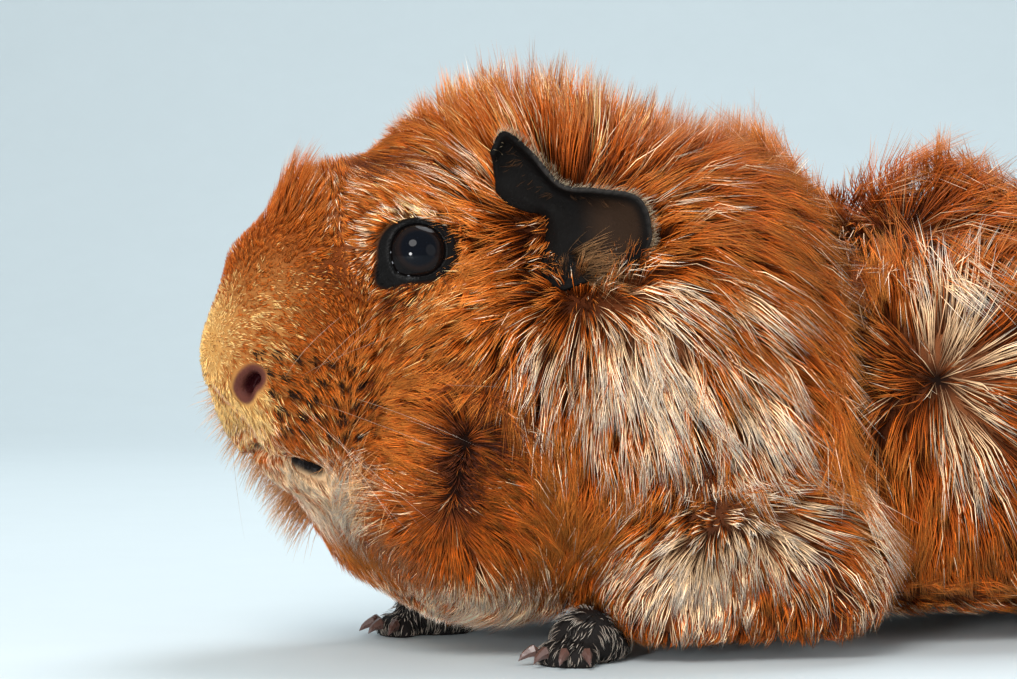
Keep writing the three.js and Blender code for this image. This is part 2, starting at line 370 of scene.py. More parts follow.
remember(skin, "rise", outline - points)
remember(skin, "part", np.zeros(len(points)), "FLOAT", "value")
print("skin sunk by up to", round(np.linalg.norm(outline - points, axis=1).max() / MM, 1), "mm")

# %% [markdown]
# ## Feet and ears
# Toes are finer than the body, so the feet are remeshed with a smaller voxel. An ear is a thin
# petal, which no remesh would keep: it starts as a flat grid, each vertex is placed between a
# curve round the ear hole and a curve along the rim, and Solidify gives it the thickness of skin.

# %% Feet
parts = [skin]
for node in FEET:
    foot = melted_copy("skin_" + node, [node], FOOT_VOXEL)
    shape = numbers(foot.data.vertices, "co")
    foot_edges = numbers(foot.data.edges, "vertices", 2).astype(int)
    for step in range(3):
        shape = smoothed(shape, foot_edges, 0.5)
    shape[:, 2] = np.maximum(shape[:, 2], 0)
    foot.data.vertices.foreach_set("co", shape.ravel())
    remember(foot, "rise", corner_normals(shape, triangles_of(foot)) * 0.6 * MM)
    remember(foot, "part", np.ones(len(shape)), "FLOAT", "value")
    parts.append(foot)
print("feet:", sum(len(part.data.vertices) for part in parts[1:]), "vertices")

# %% Ears
EAR_ROOT = [
    (18.5, 42.5, 76),
    (19.5, 44.5, 75),
    (21, 47.5, 73),
    (22.5, 51, 71),
    (24, 51.5, 66),
    (25, 52.3, 62),
    (26, 53.5, 59.5),
]
EAR_RIM = [
    (20.5, 41, 80.5),
    (22.3, 42.3, 84),
    (24, 46, 80.6),
    (27, 49.8, 75.2),
    (31.5, 54.2, 74.4),
    (35.5, 59.5, 73),
    (35.5, 61.5, 66.5),
    (31, 60, 62.5),
]
EAR_THICKNESS = 1.0 * MM
EAR_CURL, EAR_CURL_WAY = 1.2, (0.9, -0.6, -0.3)  # the tip of the front lobe rolls outwards


def curve_through(places, share):
    """Points along a smooth curve through places, at shares of its length from 0 to 1."""
    places = np.array(places, float)
    padded = np.vstack([2 * places[0] - places[1], places, 2 * places[-1] - places[-2]])
    spot_on = np.clip(share, 0, 1) * (len(places) - 1)
    start = np.minimum(spot_on.astype(int), len(places) - 2)
    t = (spot_on - start)[:, None]
    a, b, c, d = (padded[start + k] for k in range(4))
    return 0.5 * (
        2 * b + (c - a) * t + (2 * a - 5 * b + 4 * c - d) * t**2 + (3 * b - a - 3 * c + d) * t**3
    )


def make_ear(name, sign):
    deselect()
    bpy.ops.mesh.primitive_grid_add(x_subdivisions=46, y_subdivisions=14, size=1)
    ear = bpy.context.object
    ear.name = name
    flat = numbers(ear.data.vertices, "co")
    along, out = flat[:, 0] + 0.5, (flat[:, 1] + 0.5) * 1.3 - 0.3
    root = curve_through(EAR_ROOT, along)
    rim = curve_through(EAR_RIM, along)
    cup = 3.0 * np.sin(math.pi * np.clip(out, 0, 1)) * np.sin(math.pi * along) ** 0.8
    curl = EAR_CURL * ramp(0.72, 1, out) * ramp(0.42, 0.1, along)
    shape = root + (rim - root) * out[:, None]
    shape += np.outer(cup, (-0.5, 0.8, 0.2)) + np.outer(curl, EAR_CURL_WAY)
    places = np.stack(
        [sign * shape[:, 0] * MM, NOSE_Y + shape[:, 1] * MM, shape[:, 2] * MM], axis=1
    )
    ear.data.vertices.foreach_set("co", places.ravel())
    apply_modifier(ear, "SOLIDIFY", thickness=EAR_THICKNESS, offset=0)
    apply_modifier(ear, "SUBSURF", levels=1, render_levels=1)
    pick(ear)
    bpy.ops.object.mode_set(mode="EDIT")
    bpy.ops.mesh.select_all(action="SELECT")
    bpy.ops.mesh.normals_make_consistent(inside=False)
    bpy.ops.object.mode_set(mode="OBJECT")
    shape = numbers(ear.data.vertices, "co")
    remember(ear, "rise", corner_normals(shape, triangles_of(ear)) * 0.5 * MM)
    rim_line = curve_through(EAR_RIM, np.linspace(0, 1, 60))
    to_rim = np.linalg.norm(body_mm(shape)[:, None] - rim_line[None], axis=2).min(axis=1)
    remember(ear, "part", 2 + 0.4 * np.clip(to_rim / 10, 0, 1), "FLOAT", "value")
    return ear


parts += [make_ear("skin_ear_left", 1), make_ear("skin_ear_right", -1)]
pick(*parts)
bpy.ops.object.join()
print("skin with feet and ears:", len(skin.data.vertices), "vertices")

# %% [markdown]
# ## Face
# The eyes, nostrils and mouth need a much finer mesh than the body, so only the faces near them
# are subdivided. Then every vertex near a feature is moved by a smooth function of its distance
# to it, as a sculptor's brush would move it.

# %% Finer mesh on the face
EYE_LOW, EYE_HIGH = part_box("eye_left")
EYE = np.array((EYE_LOW + EYE_HIGH) / 2)
EYE_RADIUS = (EYE_HIGH.y - EYE_LOW.y) / 2
EYE_MM = body_mm(EYE[None])[0]


def laid_on(piece, places):
    """The places of a piece nearest to places given in mm."""
    found = [piece.closest_point_on_mesh(at(*place).tolist())[1] for place in places]
    return [tuple(mm) for mm in body_mm(np.array([list(place) for place in found]))]


NOSTRIL = laid_on(skin, [(7.6, 4.1, 43.0), (8.4, 4.5, 44.2), (9.1, 5.1, 44.9)])
MOUTH = laid_on(skin, [(0, 8.4, 32.8), (4.4, 9.6, 32.8), (8.6, 13.4, 31.4), (10, 17.4, 29.8)])
MOUTH_GAP = laid_on(skin, [(8.4, 12.9, 31.2), (8.9, 13.8, 30.7), (9.3, 14.8, 30.2)])
CLEFT = laid_on(skin, [(0, 1.4, 42.4), (0, 4.4, 38), (0, 7.6, 33.6)])


def distance_along(mm, places):
    """Distance in mm to a smooth curve through places."""
    line = curve_through(places, np.linspace(0, 1, 24))
    gap = np.linalg.norm(mm[:, None] - line[None], axis=2)
    return gap.min(axis=1)


def faces_near(piece, reach):
    """Selects the faces whose centre is within reach of a feature of the face."""
    centre = body_mm(numbers(piece.data.polygons, "center"))
    near = np.linalg.norm(centre - EYE_MM, axis=1) < reach * 1.9
    front = np.flatnonzero((centre[:, 1] < 24) & (centre[:, 2] > 22))
    for feature in (NOSTRIL, MOUTH, CLEFT):
        near[front[distance_along(centre[front], feature) < reach]] = True
    pick(piece)
    bpy.ops.object.mode_set(mode="EDIT")
    bpy.ops.mesh.select_mode(type="FACE")
    bpy.ops.mesh.select_all(action="DESELECT")
    bpy.ops.object.mode_set(mode="OBJECT")
    piece.data.polygons.foreach_set("select", near)
    bpy.ops.object.mode_set(mode="EDIT")
    return int(near.sum())


for reach in (5.5, 4.3):
    print("faces made finer:", faces_near(skin, reach))
    bpy.ops.mesh.subdivide(number_cuts=1, smoothness=0.6)
    bpy.ops.object.mode_set(mode="OBJECT")
print("skin:", len(skin.data.vertices), "vertices")

# %% [markdown]
# The lids are a ring of thick bare skin that hugs the eyeball. Each vertex near the eye gets a
# height above the eye's centre: under the ball inside the opening, just over it along the lid, and
# back to the face outside. The opening is nearly round, with a corner that points down the nose.

# %% Lids, nostrils and mouth
EYE_OUT = np.array([0.925, -0.32, 0.205])
EYE_OUT /= np.linalg.norm(EYE_OUT)


def eye_axes(sign):
    """Unit vectors out of the eye, towards the nose and up, along the opening of the lids."""
    facing = EYE_OUT * (sign, 1, 1)
    forward = np.array([0, -1, 0]) + facing * facing[1]
    forward /= np.linalg.norm(forward)
    upward = np.array([0, 0, 1]) - facing * facing[2]
    upward -= forward * (upward @ forward)
    return facing, forward, upward / np.linalg.norm(upward)


def eye_view(points, sign):
    """Height along the eye's axis, distance from the axis and angle round it, in mm."""
    facing, forward, upward = eye_axes(sign)
    offset = (points - EYE * (sign, 1, 1)) / MM
    p, q = offset @ forward, offset @ upward
    return offset @ facing, np.hypot(p, q), np.degrees(np.arctan2(q, p)), facing


def eye_opening(angle):
    corner = np.exp(-(((angle + 42) / 24) ** 2))
    return 4.35 + 0.45 * corner + 0.15 * np.exp(-(((np.abs(angle) - 165) / 35) ** 2))


def lid_edge(angle):
    along = np.cos(np.radians(angle)) ** 2
    corner = np.exp(-(((angle + 38) / 20) ** 2))
    return 5.2 + 1.0 * along + 2.3 * corner


points = numbers(skin.data.vertices, "co")
mm = body_mm(points)
R = EYE_RADIUS / MM
for sign in (1, -1):
    rise, away, angle, facing = eye_view(points, sign)
    near = np.flatnonzero((away < 11) & (rise > -8) & (points[:, 0] * sign > 0))
    rise, away, angle = rise[near], away[near], angle[near]
    opening, outer = eye_opening(angle), lid_edge(angle)
    ball = np.sqrt(np.maximum(R * R - np.minimum(away, 4.9) ** 2, 0.5))
    rim = np.sqrt(R * R - np.minimum(opening, 4.9) ** 2)
    lid = rim + 0.45 - 0.16 * (away - opening) - 0.05 * np.maximum(away - opening, 0) ** 2
    inside = ramp(1.0, 0.86, away / opening)
    goal = lid * (1 - inside) + (ball - 1.3) * inside
    blend = ramp(outer + 3.2, outer - 0.4, away)
    points[near] += np.outer((goal - rise) * blend, facing) * MM

triangles = triangles_of(skin)
front = np.flatnonzero((mm[:, 1] < 26) & (mm[:, 2] > 20) & (mm[:, 2] < 56))
normal = corner_normals(points, triangles)[front]


to_mouth, to_gap, to_cleft, to_nostril = (
    distance_along(mm[front], places) for places in (MOUTH, MOUTH_GAP, CLEFT, NOSTRIL)
)
CREASE = [(21, 21, 54), (21.5, 20.5, 46), (20.5, 20.5, 37), (16, 21, 30)]


def groove(gap, width, depth, lip, lip_at):
    cut = -depth * np.exp(-((gap / width) ** 2))
    cut += lip * np.exp(-(((gap - lip_at) / (0.6 * lip_at)) ** 2))
    points[front] += normal * (cut * MM)[:, None]


groove(to_mouth, 0.75, 1.6, 0.5, 2.0)
groove(to_gap, 1.9, 3.2, 0.4, 4.0)
groove(to_cleft, 0.55, 0.8, 0.25, 1.5)
groove(to_nostril, 0.9, 2.4, 0.5, 2.2)
groove(distance_along(mm[front], CREASE), 1.8, 1.1, 0.3, 4)
skin.data.vertices.foreach_set("co", points.ravel())
skin.data.update()
pick(skin)
bpy.ops.object.shade_smooth()
triangles = triangles_of(skin)
rise = numbers(skin.data.attributes["rise"].data, "vector")
part = numbers(skin.data.attributes["part"].data, "value", 1)[:, 0]
is_foot, is_ear = np.abs(part - 1) < 0.5, part > 1.5
print("skin:", len(points), "vertices,", len(triangles), "triangles")

# %% [markdown]
# ## Markings
# Skin and hair take their colours from the same marks, so the coat never disagrees with what shows
# between its hairs. Each mark is a soft ellipsoid with the share of pale, dark or golden hair that
# grows there; all the rest is ginger. A few dark marks are painted shade instead: the fold behind
# the collar, the jowl's parting, the crease behind the whisker pad and the middles of whorls. Hairs
# of different tones grow side by side, which is what gives this roan coat its ticking.


# %% Tones and marks
def tone(red, green, blue):
    """A colour as a picture editor names it, in the linear light that materials use."""
    part = np.array([red, green, blue]) / 255
    return np.where(part <= 0.04045, part / 12.92, ((part + 0.055) / 1.055) ** 2.4)


# The dark roots and pale tips are partly the hair's own ticking and partly painted light: painted
# shade down between the hairs and a painted highlight on their tips, as of light shining through
# them.
HAIR_TONES = {  # root, middle and tip of a hair
    "ginger": [tone(62, 21, 4), tone(174, 80, 15), tone(220, 138, 60)],
    "pale": [tone(136, 72, 34), tone(244, 204, 158), tone(255, 245, 232)],
    "dark": [tone(30, 14, 6), tone(84, 34, 10), tone(150, 74, 26)],
    "gold": [tone(164, 104, 44), tone(242, 194, 118), tone(252, 228, 174)],
    "black": [tone(10, 9, 8), tone(24, 22, 21), tone(84, 80, 76)],
    "silver": [tone(60, 54, 49), tone(146, 132, 120), tone(226, 214, 198)],
    "ear": [tone(24, 15, 9), tone(74, 48, 27), tone(128, 90, 56)],
    "ear tuft": [tone(44, 22, 9), tone(146, 88, 42), tone(226, 178, 126)],
    "ear edge": [tone(24, 22, 21), tone(110, 90, 66), tone(236, 216, 180)],
    "whisker root": [tone(8, 4, 2), tone(30, 14, 6), tone(60, 30, 12)],
}
MARKS = {  # (share, centre, radii), in mm: to the side, behind the nose tip, above the floor
    "pale": [
        (0.45, (18, 28.5, 70.6), (6, 6, 1.9)),
        (0.40, (16.5, 20.8, 66), (4, 2.4, 5)),
        (0.25, (12, 19, 74), (7, 6, 6)),
        (0.45, (4, 5, 36), (7, 5.5, 4)),
        (0.95, (8, 16, 28), (12, 11, 5)),
        (0.85, (6, 21, 24), (10, 8, 6)),
        (0.85, (43, 59, 46), (18, 12, 16)),
        (0.70, (41, 58, 57), (10, 15, 6)),
        (0.75, (47, 76, 38), (12, 11, 12)),
        (0.50, (45, 76, 56), (12, 14, 6)),
        (0.30, (18, 40, 76), (9, 8, 6)),
        (0.14, (16, 56, 92), (18, 18, 10)),
        (0.35, (36, 70, 74), (10, 10, 6)),
        (0.98, (40, 119, 57), (14, 9, 13)),
        (0.98, (45, 120, 35), (12, 8, 11)),
        (0.85, (43, 126, 48), (12, 10, 7)),
        (0.95, (41, 64, 12), (15, 13, 10)),
        (0.85, (44, 80, 20), (12, 12, 9)),
        (0.85, (48, 96, 16), (10, 2.5, 16)),
        (0.75, (10, 44, 8), (28, 16, 8)),
        (0.45, (32, 46, 46), (9, 5, 9)),
        (0.45, (20, 126, 76), (14, 12, 10)),
        (0.55, (44, 196, 42), (14, 14, 16)),
        (0.40, (16, 232, 55), (14, 9, 16)),
        (0.50, (0, 140, 2), (36, 70, 8)),
    ],
    "dark": [
        (0.50, (28, 37, 41), (10, 14, 15)),
        (0.75, (9, 27, 79), (10, 8, 3.5)),
        (0.55, (16, 36, 80), (8, 7, 3.5)),
        (0.60, (20, 24, 57), (5, 6, 3.5)),
        (0.45, (13.5, 16, 62), (3, 4, 4)),
        (0.75, (24, 46, 68), (4, 4, 9)),
        # Painted shade: the middle of the ear whorl, darkened as a hollow.
        (0.95, (30, 47.2, 70), (3, 2.4, 3)),
        (0.75, (34, 50, 52), (4, 1.8, 9)),
        (0.90, (32, 49, 61), (4, 3, 4)),
        (0.40, (33, 42, 38), (8, 8, 14)),
        # Painted shade: the hollow of the jowl's parting.
        (0.90, (29, 32, 31), (5, 4.4, 10)),
        # Painted shade: the crease behind the whisker pad, under the tips of the cheek's hair.
        (0.45, (20, 20.5, 46), (4, 1.6, 9)),
        (0.60, (43, 65, 31), (8, 8, 5)),
        # Painted shade: the fold behind the collar, where the coat of the neck overhangs the flank.
        (0.85, (38, 100.5, 58), (22, 4, 28)),
        (0.50, (46, 88, 8), (8, 7, 6)),
        # Painted shade: the middles of the flank whorl and of the elbow's parting, darkened as
        # hollows.
        (1.00, (42, 113.6, 46.4), (3, 1.8, 1.8)),
        (0.60, (45, 72, 18), (3, 2.5, 3)),
        (0.50, (14, 152, 80), (14, 8, 8)),
        (0.55, (40, 158, 24), (14, 6, 22)),
    ],
    "gold": [
        (1.00, (0, 1, 50), (9, 7, 12)),
        (0.95, (6, 5, 40), (8, 6, 8)),
        (0.45, (9, 8, 52), (8, 7, 12)),
        (0.30, (12, 14, 40), (7, 7, 7)),
        (0.35, (18, 29, 70), (6, 7, 4.5)),
        (0.15, (20, 30, 56), (9, 9, 8)),
        (0.32, (16, 56, 92), (20, 20, 12)),
    ],
}


def shares(mm, part):
    """Share of hair of each tone at places of the skin."""
    found = {}
    for name, marks in MARKS.items():
        found[name] = np.zeros(len(mm))
        for share, centre, radii in marks:
            found[name] = np.maximum(found[name], share * spot(mm, centre, radii))
    found["pale"] = np.maximum(found["pale"], 0.10 * ramp(30, 60, mm[:, 1]))
    foot = np.clip(part, 0, 1) * ramp(12, 8, mm[:, 2]) + ramp(1, 1.8, part)
    found["black"] = np.clip(foot, 0, 1)
    left = 1 - found["black"]
    for name in ("dark", "gold", "pale"):
        found[name] = found[name] * left
        left = left - found[name]
    found["ginger"] = left
    return found


# %% [markdown]
# ## Lie of the coat
# Hair grows away from whorls, and each place follows the nearest one. Where two flows meet they
# push each other up into a crest. So the field of directions is a weighted sum of unit vectors away
# from the whorls: it is long where they agree and short where they meet.

# %% Whorls
WHORLS = {  # parting from, to (mm), how far its pull reaches, and a slant added to the flow
    "nose": ((0, 3, 50), (0, 12, 60), 1.3, (0, 0, 0)),
    "eye": ((17.5, 29.6, 64.4), (17.5, 29.6, 64.4), 0.75, (0, 0, 0)),
    "crown": ((26, 52, 74), (26, 52, 74), 1.0, (0, 0, 0)),
    "ear": ((30, 47.2, 70.5), (31.2, 48.6, 62.2), 1.9, (0, -0.35, -0.4)),
    "jowl": ((29.5, 33.5, 36), (27, 30.5, 25), 0.75, (0, 0, 0)),
    "elbow": ((43, 63, 19), (45, 77, 19), 0.7, (0, 0, -0.9)),
    "flank": ((43, 112.8, 46.6), (43, 114.8, 46.2), 0.7, (0, 0, -0.1)),
    "saddle": ((15, 121, 80), (15, 121, 80), 0.8, (0, 0, 0)),
    "haunch": ((44, 190, 46), (44, 192, 44), 1.1, (0, 0, -0.2)),
    "loin": ((14, 166, 80), (14, 168, 80), 0.8, (0, 0, 0)),
    "tail": ((15, 234, 50), (15, 234, 46), 0.8, (0, 0, 0)),
    "belly": ((0, 96, 4), (0, 110, 4), 0.8, (0, 0, 0)),
}
WHORL_SOFTNESS = 4.0
NOT_WHORLS = ("nose", "eye", "belly", "crown")  # starts of the lie where the skin stays covered


def lie_of_coat(points):
    """Direction of the hair at places, and their distance in mm from the nearest whorl."""
    mm = (points - (0, NOSE_Y, 0)) / MM
    total, weights = np.zeros_like(mm), np.zeros(len(mm))
    nearest = np.full(len(mm), 99.0)
    for name, (start, end, reach, slant) in WHORLS.items():
        for sign in (1, -1) if start[0] else (1,):
            first = np.array(start) * (sign, 1, 1)
            along = np.array(end) * (sign, 1, 1) - first
            share = np.clip((mm - first) @ along / max(along @ along, 1e-9), 0, 1)
            away = mm - first - share[:, None] * along
            distance = np.linalg.norm(away, axis=1)
            weight = np.exp(-distance / (reach * WHORL_SOFTNESS))
            flow = away / np.maximum(distance, 1)[:, None] + np.array(slant) * (sign, 1, 1)
            total += flow * weight[:, None]
            weights += weight
            if name not in NOT_WHORLS:
                nearest = np.minimum(nearest, distance)
    return total / np.maximum(weights, 1e-30)[:, None], nearest


def near_whorl(gap, reach):
    """1 in the middle of a whorl and 0 past its reach in mm."""
    return ramp(reach, 0, gap)


# %% [markdown]
# The marks and whorls are placed on the outline of the coat. A vertex of the skin lies under it, so
# the way back up to the outline, which was kept with the mesh, is added before anything is looked
# up.

# %% Colour of the skin
BARE_BLACK, NOSE_PINK, LIP_PINK = tone(12, 10, 9), tone(84, 46, 38), tone(196, 160, 140)
mm = body_mm(points)
outer = points + rise
outer_mm = body_mm(outer)
colour = np.zeros((len(points), 3))
for name, share in shares(outer_mm, part).items():
    root_tone, middle_tone = HAIR_TONES[name][:2]
    deep = ramp(14, 40, mm[:, 1])[:, None]
    mixed = root_tone * (0.5 + 0.3 * deep) + middle_tone * (0.4 - 0.35 * deep)
    colour += share[:, None] * mixed
# Painted shade: the skin in the middle of each whorl is darkened nearly to black, as the hollow
# there.
colour *= 1 - 0.9 * near_whorl(lie_of_coat(outer)[1], 5)[:, None]


def paint(where, new):
    colour[:] = colour + (new - colour) * np.clip(where, 0, 1)[:, None]


rim_gap = (part - 2) * 25
paint(is_ear * 1.0, BARE_BLACK)
paint(is_ear * ramp(53.5, 57, mm[:, 1]) * ramp(1, 3, rim_gap), tone(42, 29, 20))
paint(is_ear * ramp(0.7, 0.1, rim_gap), tone(46, 43, 41))
paint(is_foot * ramp(10, 7, mm[:, 2]), tone(30, 27, 26))
eye_rim, round_eye = np.zeros(len(points)), np.zeros(len(points))
for sign in (1, -1):
    height_out, away, angle, facing = eye_view(points, sign)
    here = (points[:, 0] * sign > 0) & (height_out > 0)
    eye_rim = np.maximum(eye_rim, here * ramp(0.5, -0.2, away - lid_edge(angle)))
    round_eye = np.maximum(round_eye, here * ramp(3.5, 0.5, away - lid_edge(angle)))
colour *= 1 - 0.55 * round_eye[:, None]
paint(eye_rim, tone(9, 8, 8))
bare_nose = np.zeros(len(points))
mouth_slit = np.zeros(len(points))
bare_nose[front] = ramp(2.7, 1.9, to_nostril)
mouth_slit[front] = np.maximum(
    0.8 * ramp(0.9, 0.3, to_mouth),
    ramp(2.9, 1.9, to_gap),
)
near_mouth = np.zeros(len(points))
near_mouth[front] = ramp(4.5, 2.0, np.minimum(to_mouth + 1, to_gap))
paint(0.8 * near_mouth, tone(222, 184, 142))
cleft = np.zeros(len(points))
cleft[front] = ramp(1.2, 0.5, to_cleft)
paint(cleft * 0.8, LIP_PINK)
paint(bare_nose, NOSE_PINK)
# Painted shade: the inside of each nostril is painted dark red, partly its own lining and partly
# the shade in the hole.
in_nostril = np.zeros(len(points))
in_nostril[front] = ramp(1.3, 0.7, to_nostril)
paint(in_nostril, tone(40, 12, 14))
# Painted shade: the mouth line and the gap at its corner are painted near-black, partly dark lip
# skin and partly the shade inside the mouth.
paint(mouth_slit, tone(16, 12, 12))
paint(mouth_slit * ramp(9.8, 8.2, mm[:, 1]), tone(176, 164, 160))
bare = np.clip(eye_rim + bare_nose + mouth_slit + cleft, 0, 1)
remember(skin, "markings", np.column_stack([colour, np.ones(len(colour))]), "FLOAT_COLOR", "color")
remember(skin, "bare", np.clip(bare + is_ear, 0, 1), "FLOAT", "value")

# %% Lie of the coat on the skin
normal = corner_normals(points, triangles)
edges = numbers(skin.data.edges, "vertices", 2).astype(int)
lie, whorl_gap = lie_of_coat(outer)
lie -= normal * (lie * normal).sum(axis=1)[:, None]
for step in range(6):
    lie = smoothed(lie, edges, 0.6)
    rise = smoothed(rise, edges, 0.6)
lying = ramp(0.12, 0.6, np.linalg.norm(lie, axis=1))
print("share of the coat that stands:", round(float((lying < 0.4).mean()), 3))


# %% Length, width and number of hairs
FRINGES = [  # (extra length in mm, extra height, centre, radii) where the hair stands out
    (3.0, 0.60, (2, 13.8, 76), (7, 2.2, 6)),
    (3.0, 0.80, (22, 43.5, 70), (4, 4, 4)),
    (3.5, 2.60, (0, 7.5, 63), (5, 2.2, 3)),
    (2.2, 1.00, (0, 12.5, 70), (6, 4, 6)),
    (6.0, 1.20, (10, 22, 24), (14, 9, 6)),
    (4.0, 0.60, (26, 36, 18), (9, 12, 7)),
    (5.0, 0.80, (12, 52, 8), (24, 16, 8)),
    (0.5, -0.15, (10, 56, 100), (16, 24, 8)),
    (4.0, 0.45, (10, 121, 80), (22, 14, 8)),
    (1.5, 0.10, (0, 140, 88), (16, 10, 8)),
    (5.0, 0.35, (42, 92, 50), (22, 5, 40)),
    (-3.0, -0.30, (42, 104, 50), (22, 3.5, 36)),
    (1.5, 0.60, (12, 12, 40), (7, 9, 9)),
]


def fringe(mm, which):
    """Sum of one column of FRINGES at places."""
    return sum(row[which] * spot(mm, row[2], row[3]) for row in FRINGES)


def hair_length(mm, part):
    behind, height = mm[:, 1], mm[:, 2]
    length = np.interp(
        behind, [0, 6, 12, 22, 30, 40, 55, 75, 120], [1.2, 1.8, 2.6, 4.2, 7, 10.5, 13, 14.5, 17]
    )
    low = np.interp(height, [0, 6, 14, 30], [0.2, 0.35, 0.6, 1])
    length = np.where(behind > 25, length * low, length)
    length = length + fringe(mm, 0)
    near_eye = spot(mm, EYE_MM, (9, 9, 9))
    length = length * (1 - 0.6 * near_eye)
    return np.where(part > 1.5, 1.1, np.where(part > 0.5, 2.4, length))


def hair_width(mm, part):
    width = np.interp(mm[:, 1], [0, 25, 45, 90, 150, 240], [0.12, 0.13, 0.14, 0.165, 0.23, 0.34])
    return np.where(part > 1.5, 0.07, np.where(part > 0.5, 0.17, width))


def hair_density(mm, part):
    """Hairs on a square millimetre."""
    dense = np.interp(
        mm[:, 1], [0, 22, 34, 48, 62, 90, 130, 180, 240], [10, 8, 6.4, 4.5, 3.6, 2.5, 1.3, 0.9, 0.9]
    )
    dense *= np.interp(mm[:, 2], [0, 8, 16], [0.45, 0.7, 1])
    tufted = (part > 2.08) & (mm[:, 2] < 68) & (mm[:, 1] > 53)
    ear = np.where(part < 2.03, 8, np.where(part < 2.08, 0.6, np.where(tufted, 9, 3)))
    return np.where(part > 1.5, ear, np.where(part > 0.5, 2.2, 0.91 * dense))


# %% [markdown]
# ## Growing the hair
# Every hair is a thin closed spike with three sides. Its root sits on the skin. It walks along the
# lie of the coat in two steps, each put back on the skin and raised part of the way to the outline
# of the solids. Then the hairs of one tuft are drawn together towards their tips, which is
# what makes locks out of single hairs.

# %% Places for the roots
bare_skin = np.clip(eye_rim + bare_nose + mouth_slit + 0.7 * cleft, 0, 1)
sole = (normal[:, 2] < -0.6) & (mm[:, 2] < 1.2)
density = hair_density(outer_mm, part) * (1 - ramp(0.5, 0.9, bare_skin)) * ~sole
density *= 1 + 2.5 * near_whorl(whorl_gap, 6) + 1.2 * round_eye + 1.5 * near_mouth
corners = points[triangles]
area = np.linalg.norm(
    np.cross(corners[:, 1] - corners[:, 0], corners[:, 2] - corners[:, 0]), axis=1
) / (2 * MM * MM)
wanted = area * density[triangles].mean(axis=1)
HAIRS = int(wanted.sum())
chosen = np.searchsorted(np.cumsum(wanted) / wanted.sum(), random.random(HAIRS))
chosen = np.minimum(chosen, len(triangles) - 1)
u, v = random.random(HAIRS), random.random(HAIRS)
u, v = np.where(u + v > 1, 1 - u, u), np.where(u + v > 1, 1 - v, v)
mix = np.stack([1 - u - v, u, v], axis=1)


def on_triangles(values, chosen, mix=None):
    """A value known at the vertices, read at places on the triangles."""
    found = values[triangles[chosen]]
    if mix is None:
        return found.mean(axis=1)
    return (found * (mix[:, :, None] if found.ndim == 3 else mix)).sum(axis=1)


def unit(vectors):
    return vectors / np.maximum(np.linalg.norm(vectors, axis=1, keepdims=True), 1e-12)


root = on_triangles(points, chosen, mix)
root_mm = body_mm(on_triangles(outer, chosen, mix))
root_part = np.round(on_triangles(part, chosen, mix))
rim_gap = (on_triangles(part, chosen, mix) - 2) * 25
print("hairs:", HAIRS)

# %% Tufts
TUFT_SIZE = 10  # hairs in a tuft
TUFT_TURN = 0.2  # radians that a whole tuft may lean away from the lie of the coat
leaders = random.choice(HAIRS, HAIRS // TUFT_SIZE, replace=False)
tuft_tree = KDTree(len(leaders))
for index, place in enumerate(root[leaders]):
    tuft_tree.insert(place, index)
tuft_tree.balance()
tuft = np.array([tuft_tree.find(place)[1] for place in root])
leader = leaders[tuft]
tuft_turn = random.normal(0, TUFT_TURN, len(leaders))[tuft]
tuft_length = random.uniform(0.82, 1.12, len(leaders))[tuft]
tuft_tone = random.random(len(leaders))[tuft]
tuft_lift = random.random(len(leaders))[tuft]
print("tufts:", len(leaders))

# %% Whisker roots, ears and lengths
PAD_ROWS, PAD_COLUMNS, DOT_RADIUS = 5, 6, 0.85
on_dots = np.zeros(HAIRS, bool)
long_hair = (root_mm[:, 1] > 34) & (root_part < 0.5)
length = hair_length(root_mm, root_part) * MM * tuft_length * random.uniform(0.8, 1.12, HAIRS)
for row in range(PAD_ROWS):
    for column in range(PAD_COLUMNS):
        behind, above = 5.2 + 2.6 * column + 0.8 * row, 49 - 2.9 * row - 0.2 * column
        on_dots |= np.hypot(root_mm[:, 1] - behind, root_mm[:, 2] - above) < DOT_RADIUS
on_dots &= (root_mm[:, 0] > 4) & (root_mm[:, 1] < 24)
on_ear = root_part > 1.5
in_ear = on_ear & (rim_gap > 2)
ear_tuft = in_ear & (root_mm[:, 2] < 68) & (root_mm[:, 1] > 53)
for where, factor in ((on_dots, 0.8), (in_ear, 2.2), (ear_tuft, 1.7)):
    length[where] *= factor
print("mean length of a hair in mm:", round(float(length.mean() / MM), 1))

# %% Direction and rise of each hair
HAIR_TURN, STANDING_TURN = 0.12, 0.25
face_normal = unit(on_triangles(normal, chosen, mix))
height = np.linalg.norm(on_triangles(rise, chosen, mix), axis=1)
lay = on_triangles(lying, chosen, mix)
run = np.sqrt(np.maximum(length**2 - (0.8 * height) ** 2, (0.35 * length) ** 2))
run *= 0.22 + 0.78 * lay
heading = unit(on_triangles(lie, chosen, mix) + 1e-9)
heading[in_ear] = unit(heading[in_ear] + (0, 2.5, 0.3))
turn = tuft_turn + random.normal(0, HAIR_TURN, HAIRS)
turn += (1 - lay) * random.normal(0, STANDING_TURN, HAIRS)
sideways = np.cross(face_normal, heading)
heading = unit(heading * np.cos(turn)[:, None] + sideways * np.sin(turn)[:, None])
reach = 0.45 + 0.5 * random.random(HAIRS) ** 0.7 + 0.15 * tuft_lift
reach *= np.interp(root_mm[:, 1], [0, 10, 20], [0.6, 0.8, 1])
reach += 0.15 * (1 - lay) + fringe(root_mm, 1)
reach *= 1 - 0.55 * near_whorl(on_triangles(whorl_gap, chosen, mix), 10)
reach[on_ear] *= np.where(in_ear, 2, 3.2)[on_ear]
print("a tip reaches", round(float(reach.mean()), 2), "of the way to the outline on average")

